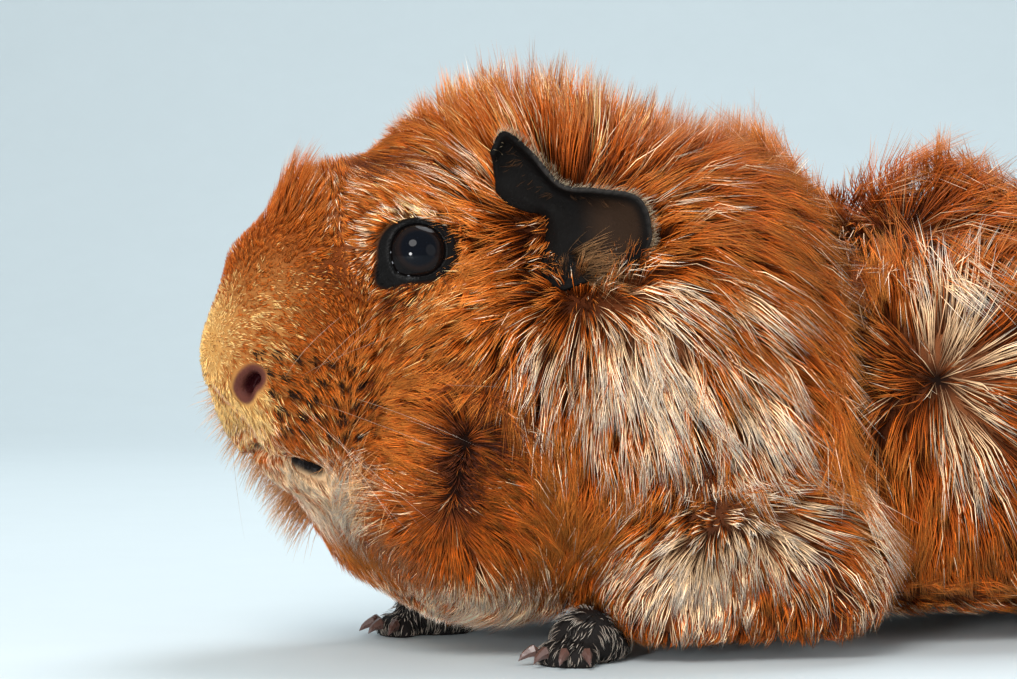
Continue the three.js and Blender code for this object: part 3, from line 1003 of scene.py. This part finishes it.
# %% Walk of each hair over the skin
STEPS = 2
PROFILE = [0, 0.8, 1.0]  # how much of its rise a hair has at the root and after each step
skin_tree = BVHTree.FromPolygons(points.tolist(), triangles.tolist())
covers_bare = np.zeros(HAIRS)
path = np.zeros((HAIRS, STEPS + 1, 3))
upward = np.zeros_like(path)
path[:, 0], upward[:, 0] = root - face_normal * 0.2 * MM, face_normal
ground = root.copy()
for step in range(1, STEPS + 1):
    target = ground + heading * (run / STEPS)[:, None]
    hit = [skin_tree.find_nearest(place) for place in target.tolist()]
    ground = np.array([found[0] for found in hit])
    face = np.array([found[2] for found in hit])
    up = on_triangles(rise, face)
    flow = on_triangles(lie, face)
    covers_bare = np.maximum(covers_bare, on_triangles(bare_skin, face))
    face_normal = unit(on_triangles(normal, face))
    heading = unit(0.7 * heading + 0.3 * unit(flow + 1e-9))
    heading = unit(heading - face_normal * (heading * face_normal).sum(axis=1)[:, None])
    path[:, step] = ground + up * (PROFILE[step] * reach)[:, None]
    upward[:, step] = unit(unit(up + 1e-9) + face_normal)

# %% Locks, and hairs that would cross bare skin
DRAW = [0, 0.4, 0.75]  # how far the hairs of a tuft are drawn to its leader at each step
TIP_BEND, BOW, FLOOR_GAP = 0.035, 0.35, 0.3 * MM
strength = np.where(long_hair, 1.0, 0.55) * random.uniform(0.6, 1, HAIRS)
own = path.copy()
for step in range(1, STEPS + 1):
    pull = (DRAW[step] * strength)[:, None]
    path[:, step] += (own[leader, step] - own[:, step]) * pull
bend = random.normal(0, 1, (HAIRS, 3)) * (TIP_BEND * length)[:, None]
path[:, 2] += bend
path[:, 1] += BOW * ((path[:, 0] + path[:, 2]) / 2 - path[:, 1])
path[..., 2] = np.maximum(path[..., 2], FLOOR_GAP)
over_mouth = (root_mm[:, 2] < 34) & (random.random(HAIRS) < 0.25)
shown = (covers_bare < 0.35) | (root_part > 0.5) | over_mouth
shown &= ~(on_ear & ~in_ear & (on_triangles(normal, chosen, mix)[:, 1] < 0.25))
print("hairs left out because they would cross bare skin:", int((~shown).sum()))

# %% Tone of each hair
SILVER_SHARE = 0.55
share = shares(body_mm(path[:, 1]), root_part)
draw = 0.55 * random.random(HAIRS) + 0.45 * tuft_tone
total = np.zeros(HAIRS)
tones = np.zeros((HAIRS, 3, 3))
for name in ("black", "dark", "gold", "pale", "ginger"):
    mine = (draw >= total) & (draw < total + share[name] + 1e-9)
    tones[mine] = np.array(HAIR_TONES[name])
    total += share[name]
calm = np.interp(root_mm[:, 1], [4, 26], [0.6, 1])
brightness = random.normal(0, 0.26, HAIRS) + random.normal(0, 0.16, len(leaders))[tuft]
brightness = np.exp(brightness * calm)
tones = tones[:, 1:2] + (tones - tones[:, 1:2]) * calm[:, None, None]
tones *= brightness[:, None, None]
# Painted shade: hairs near the middle of a whorl are darker, most at the root, as in the hollow
# there.
centre = near_whorl(on_triangles(whorl_gap, chosen, mix), 6)[:, None]
tones[:, 0] *= 1 - 0.6 * centre
tones[:, 1] *= 1 - 0.4 * centre
tones[:, 2] *= 1 - 0.5 * centre
silver = (root_part == 1) & (random.random(HAIRS) < SILVER_SHARE)
for where, name in (
    (silver, "silver"),
    (in_ear, "ear"),
    (ear_tuft, "ear tuft"),
    (on_ear & ~in_ear, "ear edge"),
    (on_dots, "whisker root"),
):
    tones[where] = HAIR_TONES[name]
print("silver hairs on the feet:", int(silver.sum()))

# %% [markdown]
# The arrays become meshes: rings of three vertices along each path and one at the tip. The hair is
# flat, three times as wide as thick, and lies with its broad side out. Its place on the bake map is
# a tiny patch in a square unwrap of the skin: rows along the body, places in a row around it.


# %% One mesh of many strands
def strand_faces(rings):
    """Triangles of one strand: a cap at its root, walls from ring to ring and a point."""
    faces = [(0, 1, 2)]
    for ring in range(rings - 1):
        for side in range(3):
            a, b = 3 * ring + side, 3 * ring + (side + 1) % 3
            faces += [(a, a + 3, b), (b, a + 3, b + 3)]
    last = 3 * (rings - 1)
    faces += [(last + side, last + 3, last + (side + 1) % 3) for side in range(3)]
    return np.array(faces)


def strands(name, places, pattern, shade, uv, material):
    """Joins equal strands in one mesh: places, colours and UVs by strand and vertex."""
    count, size = places.shape[:2]
    faces = (pattern[None] + (np.arange(count) * size)[:, None, None]).reshape(-1, 3)
    mesh = bpy.data.meshes.new(name)
    mesh.vertices.add(count * size)
    mesh.vertices.foreach_set("co", places.astype(np.float32).ravel())
    mesh.loops.add(faces.size)
    mesh.loops.foreach_set("vertex_index", faces.astype(np.int32).ravel())
    mesh.polygons.add(len(faces))
    mesh.polygons.foreach_set("loop_start", np.arange(0, faces.size, 3, dtype=np.int32))
    mesh.update(calc_edges=True)
    layer = mesh.color_attributes.new("hair_colour", "FLOAT_COLOR", "POINT")
    layer.data.foreach_set("color", shade.ravel())
    mesh.uv_layers.new(name="OFBake")
    picked = uv.astype(np.float32).reshape(-1, 2)[faces.ravel()]
    mesh.uv_layers["OFBake"].data.foreach_set("uv", picked.ravel())
    mesh.materials.append(material)
    piece = bpy.data.objects.new(name, mesh)
    bpy.context.scene.collection.objects.link(piece)
    print(name, count, "strands", len(faces), "triangles")
    return piece


# %% Hairs along their paths
THICKNESS = (0.42, 0.46)  # half the width of a hair at its rings, as a share of its full width
FLATNESS = 0.7
PATCH = 0.003  # size of a hair's patch on the bake map


def patches(some, size):
    """A patch for each hair on a square unwrap of the skin: rows along it, columns round it."""
    count = len(some)
    grid = math.ceil(math.sqrt(count))
    around = np.arctan2(root[some, 0], root[some, 2] - 40 * MM)
    row = np.zeros(count, int)
    row[np.argsort(root[some, 1])] = np.arange(count) // grid
    order = np.lexsort((around, row))
    column = np.zeros(count)
    first = np.searchsorted(row[order], row[order])
    column[order] = np.arange(count) - first
    corner = np.stack([column, row], axis=1) / grid * 0.99 + 0.002
    spread = np.array([(k % 3 / 2, min(k // 3, STEPS) / STEPS) for k in range(size)]) * PATCH
    spread[-1, 0] = PATCH / 2
    return corner[:, None] + spread[None]


def hair_mesh(name, some, material):
    line, lift = path[some], upward[some]
    thick = hair_width(root_mm[some], root_part[some]) * MM
    rings = []
    for ring in range(STEPS):
        along = unit(line[:, ring + 1] - line[:, max(ring - 1, 0)])
        across = unit(np.cross(along, lift[:, ring]))
        above = np.cross(across, along)
        half = (thick * THICKNESS[ring])[:, None]
        rings += [
            line[:, ring] - across * half,
            line[:, ring] + above * half * FLATNESS,
            line[:, ring] + across * half,
        ]
    rings.append(line[:, -1])
    places = np.stack(rings, axis=1)
    size = places.shape[1]
    shade = np.ones((len(some), size, 4), np.float32)
    for vertex in range(size):
        shade[:, vertex, :3] = tones[some, min(vertex // 3, STEPS)]
    return strands(name, places, strand_faces(STEPS), shade, patches(some, size), material)


# %% [markdown]
# ## Materials
# One small node group is shared: it breaks up a colour with fine grain and gives a height for
# the bump. Each material keeps its own shader.


# %% Node groups
def new_group(name, inputs, outputs):
    group = bpy.data.node_groups.new(name, "ShaderNodeTree")
    for label, kind, value in inputs:
        socket = group.interface.new_socket(name=label, in_out="INPUT", socket_type=kind)
        if value is not None:
            socket.default_value = value
    for label, kind in outputs:
        group.interface.new_socket(name=label, in_out="OUTPUT", socket_type=kind)
    return group, group.nodes.new("NodeGroupInput"), group.nodes.new("NodeGroupOutput")


def add_node(tree, kind, **settings):
    node = tree.nodes.new(kind)
    for name, value in settings.items():
        setattr(node, name, value)
    return node


def link(tree, source, target):
    tree.links.new(source, target)


def math_node(tree, operation, first, second):
    node = add_node(tree, "ShaderNodeMath", operation=operation)
    for slot, value in enumerate((first, second)):
        if isinstance(value, (int, float)):
            node.inputs[slot].default_value = value
        else:
            link(tree, value, node.inputs[slot])
    return node.outputs[0]


FLOAT, COLOUR, VECTOR = "NodeSocketFloat", "NodeSocketColor", "NodeSocketVector"
grain_group, grain_in, grain_out = new_group(
    "fine grain",
    [
        ("Colour", COLOUR, (0.5, 0.5, 0.5, 1)),
        ("Place", VECTOR, None),
        ("Scale", FLOAT, 900),
        ("Strength", FLOAT, 0.3),
        ("Roughness", FLOAT, 0.5),
    ],
    [("Colour", COLOUR), ("Roughness", FLOAT), ("Height", FLOAT)],
)
fine = add_node(grain_group, "ShaderNodeTexNoise")
fine.inputs["Detail"].default_value = 3
coarse = add_node(grain_group, "ShaderNodeTexNoise")
coarse.inputs["Detail"].default_value = 2
for noise, share in ((fine, 1), (coarse, 0.22)):
    link(grain_group, grain_in.outputs["Place"], noise.inputs["Vector"])
    link(
        grain_group,
        math_node(grain_group, "MULTIPLY", grain_in.outputs["Scale"], share),
        noise.inputs["Scale"],
    )
both = math_node(grain_group, "ADD", fine.outputs["Fac"], coarse.outputs["Fac"])
swing = math_node(grain_group, "SUBTRACT", both, 1.0)
swing = math_node(grain_group, "MULTIPLY", swing, grain_in.outputs["Strength"])
scaled = add_node(grain_group, "ShaderNodeVectorMath", operation="SCALE")
link(grain_group, grain_in.outputs["Colour"], scaled.inputs[0])
link(grain_group, math_node(grain_group, "ADD", swing, 1.0), scaled.inputs["Scale"])
link(grain_group, scaled.outputs[0], grain_out.inputs["Colour"])
link(
    grain_group,
    math_node(grain_group, "ADD", swing, grain_in.outputs["Roughness"]),
    grain_out.inputs["Roughness"],
)
link(grain_group, both, grain_out.inputs["Height"])


def new_material(name):
    material = bpy.data.materials.new(name)
    material.use_nodes = True
    return material, material.node_tree, material.node_tree.nodes["Principled BSDF"]


def grained(name, colour, roughness, scale, strength, bump=0.0, attribute=None):
    """A material whose colour, roughness and bump all carry the fine grain."""
    material, tree, shader = new_material(name)
    place = add_node(tree, "ShaderNodeTexCoord")
    grain = add_node(tree, "ShaderNodeGroup", node_tree=grain_group)
    link(tree, place.outputs["Object"], grain.inputs["Place"])
    grain.inputs["Scale"].default_value = scale
    grain.inputs["Strength"].default_value = strength
    grain.inputs["Roughness"].default_value = roughness
    if attribute:
        source = add_node(tree, "ShaderNodeAttribute", attribute_name=attribute)
        link(tree, source.outputs["Color"], grain.inputs["Colour"])
    else:
        grain.inputs["Colour"].default_value = (*colour, 1)
    link(tree, grain.outputs["Colour"], shader.inputs["Base Color"])
    link(tree, grain.outputs["Roughness"], shader.inputs["Roughness"])
    if bump:
        relief = add_node(tree, "ShaderNodeBump")
        relief.inputs["Strength"].default_value = bump
        relief.inputs["Distance"].default_value = 0.0004
        link(tree, grain.outputs["Height"], relief.inputs["Height"])
        link(tree, relief.outputs["Normal"], shader.inputs["Normal"])
    return material, tree, shader, grain


# %% Skin, hair, claw and floor materials
skin_finish, tree, shader, grain = grained("skin", None, 0.7, 2200, 0.3, 0.35, "markings")
shader.inputs["Specular IOR Level"].default_value = 0.07
moist = add_node(tree, "ShaderNodeAttribute", attribute_name="wet")
wetness = add_node(tree, "ShaderNodeMix", data_type="FLOAT")
link(tree, moist.outputs["Fac"], wetness.inputs["Factor"])
link(tree, grain.outputs["Roughness"], wetness.inputs[2])
wetness.inputs[3].default_value = 0.18
link(tree, wetness.outputs[0], shader.inputs["Roughness"])
hair_finish, tree, shader, grain = grained("hair", None, 0.5, 2600, 0.25, 0, "hair_colour")
shader.inputs["Specular IOR Level"].default_value = 0.17
claw_finish, tree, shader, grain = grained("claw horn", tone(88, 62, 55), 0.32, 1500, 0.4, 0.2)
shader.inputs["Coat Weight"].default_value = 0.3
floor_finish, tree, shader, grain = grained("floor", tone(214, 225, 229), 0.7, 60, 0.03, 0.03)
floor.data.materials.append(floor_finish)
skin.data.materials.append(skin_finish)
wet = np.clip(in_nostril + mouth_slit * 0.7, 0, 1)
for sign in (1, -1):
    height_out, away, angle, facing = eye_view(points, sign)
    here = (points[:, 0] * sign > 0) & (height_out > 0)
    wet = np.maximum(wet, here * ramp(0.9, 0.2, away - eye_opening(angle)))
remember(skin, "wet", wet, "FLOAT", "value")

# %% [markdown]
# ## Eyes
# The eyeball is a full sphere in place of the solid one. A guinea pig's eye is nearly all pupil:
# a very dark brown iris shows only as a thin ring, and a clear coat gives the wet highlight.

# %% Eyeballs
eye_finish, tree, shader, grain = grained("eye", tone(9, 7, 8), 0.04, 500, 0.02, 0)
place = add_node(tree, "ShaderNodeTexCoord")
both_sides = add_node(tree, "ShaderNodeVectorMath", operation="ABSOLUTE")
link(tree, place.outputs["Object"], both_sides.inputs[0])
from_pupil = add_node(tree, "ShaderNodeVectorMath", operation="DISTANCE")
link(tree, both_sides.outputs[0], from_pupil.inputs[0])
from_pupil.inputs[1].default_value = np.abs(EYE + EYE_OUT * EYE_RADIUS)
pupil_tint_and_iris = add_node(tree, "ShaderNodeValToRGB")
link(tree, math_node(tree, "MULTIPLY", from_pupil.outputs["Value"], 150), pupil_tint_and_iris.inputs["Fac"])
stops = pupil_tint_and_iris.color_ramp.elements
# Painted reflection: the middle of the pupil is tinted navy, as the sky mirrored in it; the brown
# ring at 0.5 is the iris.
stops[0].position, stops[0].color = 0.40, (*tone(7, 9, 15), 1)
stops[1].position, stops[1].color = 0.62, (*tone(10, 7, 7), 1)
ring = stops.new(0.5)
ring.color = (*tone(24, 16, 14), 1)
link(tree, pupil_tint_and_iris.outputs["Color"], grain.inputs["Colour"])
shader.inputs["Coat Weight"].default_value = 0.05
shader.inputs["Coat Roughness"].default_value = 0.01
shader.inputs["Specular IOR Level"].default_value = 0.08
# Painted highlight: the tear film's pale grey colour stands in for glints of light on the wet rim
# of the lids.
tear_glint_finish, tree, shader, grain = grained("tear film glints", tone(150, 152, 158), 0.05, 900, 0.05, 0.2)
shader.inputs["Coat Weight"].default_value = 1.0

eyes = []
for name, sign in (("eyeball_left", 1), ("eyeball_right", -1)):
    deselect()
    bpy.ops.mesh.primitive_uv_sphere_add(
        segments=64, ring_count=40, radius=EYE_RADIUS, location=EYE * (sign, 1, 1)
    )
    ball = bpy.context.object
    ball.name = name
    bpy.ops.object.transform_apply(location=True, rotation=True, scale=True)
    bpy.ops.object.shade_smooth()
    ball.data.materials.append(eye_finish)
    eyes.append(ball)


# %% Tear line along the lids
def tube(name, line, radius, closed, material, sides=8):
    """A round tube along a line; the radius is one number or one for each point."""
    line = np.asarray(line)
    count = len(line)
    radius = np.broadcast_to(radius, count)
    ahead = np.roll(line, -1, 0) - np.roll(line, 1, 0)
    if not closed:
        ahead[0], ahead[-1] = line[1] - line[0], line[-1] - line[-2]
    ahead = unit(ahead)
    side = unit(np.cross(ahead, (0.31, 0.17, 0.93)))
    above = np.cross(side, ahead)
    turn = np.arange(sides) * 2 * math.pi / sides
    rings = (
        line[:, None]
        + side[:, None] * (np.cos(turn)[None, :, None] * radius[:, None, None])
        + above[:, None] * (np.sin(turn)[None, :, None] * radius[:, None, None])
    )
    last = count if closed else count - 1
    faces = [
        (
            ring * sides + k,
            ring * sides + (k + 1) % sides,
            (ring + 1) % count * sides + (k + 1) % sides,
            (ring + 1) % count * sides + k,
        )
        for ring in range(last)
        for k in range(sides)
    ]
    if not closed:
        faces += [tuple(range(sides))[::-1], tuple((count - 1) * sides + k for k in range(sides))]
    mesh = bpy.data.meshes.new(name)
    mesh.from_pydata(rings.reshape(-1, 3).tolist(), [], faces)
    piece = bpy.data.objects.new(name, mesh)
    bpy.context.scene.collection.objects.link(piece)
    pick(piece)
    bpy.ops.object.shade_smooth()
    mesh.materials.append(material)
    return piece


tears = []
for name, sign in (("tear_line_left", 1), ("tear_line_right", -1)):
    facing, forward, upward_axis = eye_axes(sign)
    turns = np.radians(np.linspace(-75, 0, 60))
    ring = np.minimum(eye_opening(np.degrees(turns)) - 0.05, 4.9)
    out = np.sqrt(R * R - ring**2) + 0.08
    line = EYE * (sign, 1, 1) + MM * (
        np.outer(ring * np.cos(turns), forward)
        + np.outer(ring * np.sin(turns), upward_axis)
        + np.outer(out, facing)
    )
    # The thicker beads carry most of the painted highlight of the tear film.
    beads = 0.03 + 0.16 * np.sin(np.linspace(0.4, 11, 60)) ** 8
    tears.append(tube(name, line, beads * MM, False, tear_glint_finish))

# %% [markdown]
# ## Coat
# The coat is long and straight, parted by rosettes, short on the muzzle and the feet and nearly
# absent on the ears. One mesh could hold all of it, but it would be too heavy to show or to bake,
# and Blender's own hair system would leave nothing in the export. The hairs are therefore shared
# out by their place from nose to tail, left and right, over pieces that stay light enough each.
# The borders are blurred by a little chance, so that no seam shows between two pieces.

# %% Coat pieces
left_side = root[:, 0] > 0
behind = root_mm[:, 1] + random.normal(0, 1.5, HAIRS)
COAT = {  # how far behind the nose each piece ends, in mm
    "coat_muzzle": 21,
    "coat_cheek": 34,
    "coat_neck": 60,
    "coat_shoulder": 92,
    "coat_flank": 150,
    "coat_haunch": 400,
}
coat = []
start = -50
for name, end in COAT.items():
    inside = (behind >= start) & (behind < end) & (root_part < 0.5) & shown
    for label, side in (("left", left_side), ("right", ~left_side)):
        coat.append(hair_mesh(name + "_" + label, np.flatnonzero(inside & side), hair_finish))
    start = end
coat.append(hair_mesh("coat_feet", np.flatnonzero(root_part == 1), hair_finish))
coat.append(hair_mesh("coat_ears", np.flatnonzero(on_ear & shown), hair_finish))
print("triangles of the coat:", sum(len(piece.data.polygons) for piece in coat))

# %% [markdown]
# ## Whiskers, beard and lashes
# Whiskers grow from the dark spots of the whisker pad, and stiff short lashes from the lids. They
# stand free of the coat, so they can't follow the skin as its hairs do. Curves with a bevel would
# give them, but a fine tapered tube for each, bent by a droop that grows with the square of its
# length, is quick to make in numbers and has few faces. The same tubes give the loose hair that
# stands out from the cheeks.

# %% Bristles
SIDES = (("left", 1), ("right", -1))
BRISTLE_RINGS = 5
TAPER = 0.8  # share of its thickness that a bristle has lost at its tip
BRIGHTNESS = (0.45, 1.1)
whiskers = []


def bristles(name, roots, lengths, thickness, aims, droop, colours):
    """Fine tapered tubes from their roots, each along its own aim; lengths are in mm."""
    count = len(roots)
    lengths, thickness = lengths * MM, thickness * MM
    aims, droop = unit(aims), np.broadcast_to(droop, (count, 3))
    along = np.linspace(0, 1, BRISTLE_RINGS + 1)
    line = (
        roots[:, None]
        + aims[:, None] * (lengths[:, None] * along)[..., None]
        + droop[:, None] * (lengths[:, None] * along**2)[..., None]
    )
    ahead = unit((line[:, 1:] - line[:, :-1]).reshape(-1, 3)).reshape(count, -1, 3)
    side = unit(np.cross(ahead.reshape(-1, 3), (0.1, 0.2, 0.97))).reshape(ahead.shape)
    above = np.cross(side, ahead)
    rings = []
    for ring in range(BRISTLE_RINGS):
        radius = thickness / 2 * (1 - TAPER * along[ring])
        for turn in (2 * math.pi * k / 3 for k in range(3)):
            around = side[:, ring] * math.cos(turn) + above[:, ring] * math.sin(turn)
            rings.append(line[:, ring] + around * radius)
    rings.append(line[:, -1])
    places = np.stack(rings, axis=1)
    size = places.shape[1]
    shade = np.ones((count, size, 4), np.float32)
    fade = np.append(np.repeat(along[:-1], 3), 1)
    shade[..., :3] = colours[0] * (1 - fade[None, :, None]) + colours[1] * fade[None, :, None]
    shade[..., :3] *= random.uniform(*BRIGHTNESS, count)[:, None, None]
    uv = np.zeros((count, size, 2), np.float32)
    uv[..., 0] = (np.arange(count)[:, None] + 0.5) / count
    uv[..., 0] += 0.3 / count * np.tile([0, 0.5, 1], size)[:size] * 0.999
    uv[..., 1] = fade * 0.96 + 0.02
    pattern = strand_faces(BRISTLE_RINGS)[:, [0, 2, 1]]
    whiskers.append(strands(name, places, pattern, shade, uv, hair_finish))


def on_skin(sides, behinds, heights, sign):
    """Places on the skin nearest to places given in mm, with the normals there."""
    found = []
    for side, behind_nose, above in zip(sides, behinds, heights):
        place = at(sign * side, behind_nose, above)
        hit = skin_tree.find_nearest(place.tolist())
        found.append((np.array(hit[0]), unit(on_triangles(normal, np.array([hit[2]])))[0]))
    return np.array([f[0] for f in found]), np.array([f[1] for f in found])


# %% Whiskers
WHISKER_ROWS, WHISKER_COLUMNS, WHISKER_LENGTH = 3, 5, (14, 28)


def grow_whiskers(label, sign):
    count = WHISKER_ROWS * WHISKER_COLUMNS
    rows = np.repeat(np.arange(WHISKER_ROWS), WHISKER_COLUMNS)
    columns = np.tile(np.arange(WHISKER_COLUMNS), WHISKER_ROWS)
    behinds, heights = 8 + 2.5 * columns + 0.7 * rows, 45.5 - 3.4 * rows
    roots, out = on_skin(np.full(count, 14.0), behinds, heights, sign)
    aims = out * 0.5 + (0.25 * sign, 0.3, 0.2) + np.outer(columns / 5, (0, 0.6, 0))
    aims += np.outer(rows, (0, 0.1, -0.45))
    aims += random.normal(0, 0.08, aims.shape)
    back, down = random.uniform(0.05, 0.2, count), random.uniform(-0.2, 0, count)
    droop = np.column_stack([np.zeros(count), back, down])
    lengths = random.uniform(*WHISKER_LENGTH, count)
    colours = tone(196, 140, 96), tone(250, 236, 220)
    bristles("whiskers_" + label, roots, lengths, 0.08, aims, droop, colours)


# %% Beard
BEARD = {"left": 90, "right": 1300}  # the right cheek shows as a fringe beyond the muzzle
BEARD_PLACE = ((17, 2.5), (20, 2.5), (30, 4))  # middle and spread: aside, behind the nose, above
BEARD_LENGTH = (3.5, 8.5)


def grow_beard(label, sign):
    count = BEARD[label]
    sides, behinds, heights = [random.normal(*place, count) for place in BEARD_PLACE]
    if label == "right":
        down = random.random(count)
        behinds = 10 + 14 * down + random.normal(0, 2, count)
        sides, heights = np.full(count, 16.0), 45 - 24 * down
    roots, out = on_skin(sides, behinds, heights, sign)
    aims = out * 0.8 + (0, -0.2, -0.25) + random.normal(0, 0.2, out.shape)
    lengths = random.uniform(*BEARD_LENGTH, count)
    colours = tone(196, 104, 36), tone(250, 196, 136)
    bristles("beard_" + label, roots, lengths, 0.12, aims, (0, 0.12, -0.25), colours)


# %% Lashes
LASHES, UPPER_LASH, LOWER_LASH = 70, 1.6, 2.6


def grow_lashes(label, sign):
    turns = random.uniform(-180, 180, LASHES)
    facing, forward, overhead = eye_axes(sign)
    level, upright = np.cos(np.radians(turns)), np.sin(np.radians(turns))
    radial = np.outer(level, forward) + np.outer(upright, overhead)
    ring = lid_edge(turns) - 0.5
    roots = EYE * (sign, 1, 1) + (radial * ring[:, None] + facing * 2.6) * MM
    lengths = np.where(upright < 0.2, LOWER_LASH, UPPER_LASH) * random.uniform(0.7, 1.2, LASHES)
    aims = radial + facing * 0.35 + random.normal(0, 0.15, radial.shape)
    colours = tone(14, 11, 10), tone(50, 34, 24)
    bristles("lashes_" + label, roots, lengths, 0.13, aims, (0, 0.1, -0.2), colours)


for label, sign in SIDES:
    grow_whiskers(label, sign)
    grow_beard(label, sign)
    grow_lashes(label, sign)

# %% [markdown]
# ## Down and tuft of the ears
# A guinea pig's ear is nearly bare, with a fringe of short pale down along its rim, and a tuft of
# longer dark hair fills the notch under it. Hairs of the coat lie on the skin and would hide the
# thin rim. The same tubes as the whiskers', set along the rim's own curve and turned outward,
# keep the rim sharp and catch the light as down does.

# %% Down on the rim of the ears and the tuft below them
EAR_DOWN, DOWN_LENGTH = 460, (1.1, 2.0)
EAR_TUFT, EAR_TUFT_LENGTH = 170, (3.5, 8.5)


def grow_ear_down(label, sign):
    share = random.uniform(0.04, 0.92, EAR_DOWN)
    edge, base = curve_through(EAR_RIM, share), curve_through(EAR_ROOT, share)
    edge += np.outer(EAR_CURL * ramp(0.42, 0.1, share), EAR_CURL_WAY)
    outward = unit(edge - base)
    edge -= 0.5 * outward
    roots = np.stack([sign * edge[:, 0] * MM, NOSE_Y + edge[:, 1] * MM, edge[:, 2] * MM], axis=1)
    aims = (outward + (-0.5, 0.35, 0.1) + random.normal(0, 0.22, outward.shape)) * (sign, 1, 1)
    lengths = random.uniform(*DOWN_LENGTH, EAR_DOWN)
    colours = tone(120, 92, 66), tone(246, 226, 190)
    bristles("ear_down_" + label, roots, lengths, 0.06, aims, (0, 0.2, 0), colours)


def grow_ear_tuft(label, sign):
    down, back = random.random(EAR_TUFT), random.random(EAR_TUFT)
    sides, behinds, heights = 26.5 + 4 * down, 50.5 + 2 * down + 2.5 * back, 65 - 5.5 * down
    roots, out = on_skin(sides, behinds, heights, sign)
    aims = (0.55, 0.75, 0.25) * np.array((sign, 1, 1)) + out * 0.3
    aims = aims + np.outer(0.5 - down, (0, 0, 0.8)) + random.normal(0, 0.26, out.shape)
    lengths = random.uniform(*EAR_TUFT_LENGTH, EAR_TUFT)
    colours = tone(34, 17, 7), tone(214, 158, 104)
    bristles("ear_tuft_" + label, roots, lengths, 0.1, aims, (0, 0.25, -0.1), colours)


for label, sign in SIDES:
    grow_ear_down(label, sign)
    grow_ear_tuft(label, sign)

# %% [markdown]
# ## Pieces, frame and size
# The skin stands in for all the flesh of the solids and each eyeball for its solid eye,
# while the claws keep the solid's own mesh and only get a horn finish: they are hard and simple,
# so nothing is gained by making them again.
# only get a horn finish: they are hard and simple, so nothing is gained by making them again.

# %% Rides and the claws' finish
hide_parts(*BODY, *FEET, *EARS)
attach(skin, "root")
for ball, node in zip(eyes, ("eye_left", "eye_right")):
    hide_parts(node)
    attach(ball, "root")
for piece in tears:
    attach(piece, "root")
for piece in coat + whiskers:
    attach(piece, "root")
for name, node in frame["nodes"].items():
    if "claw" in name:
        node.data.materials.clear()
        node.data.materials.append(claw_finish)
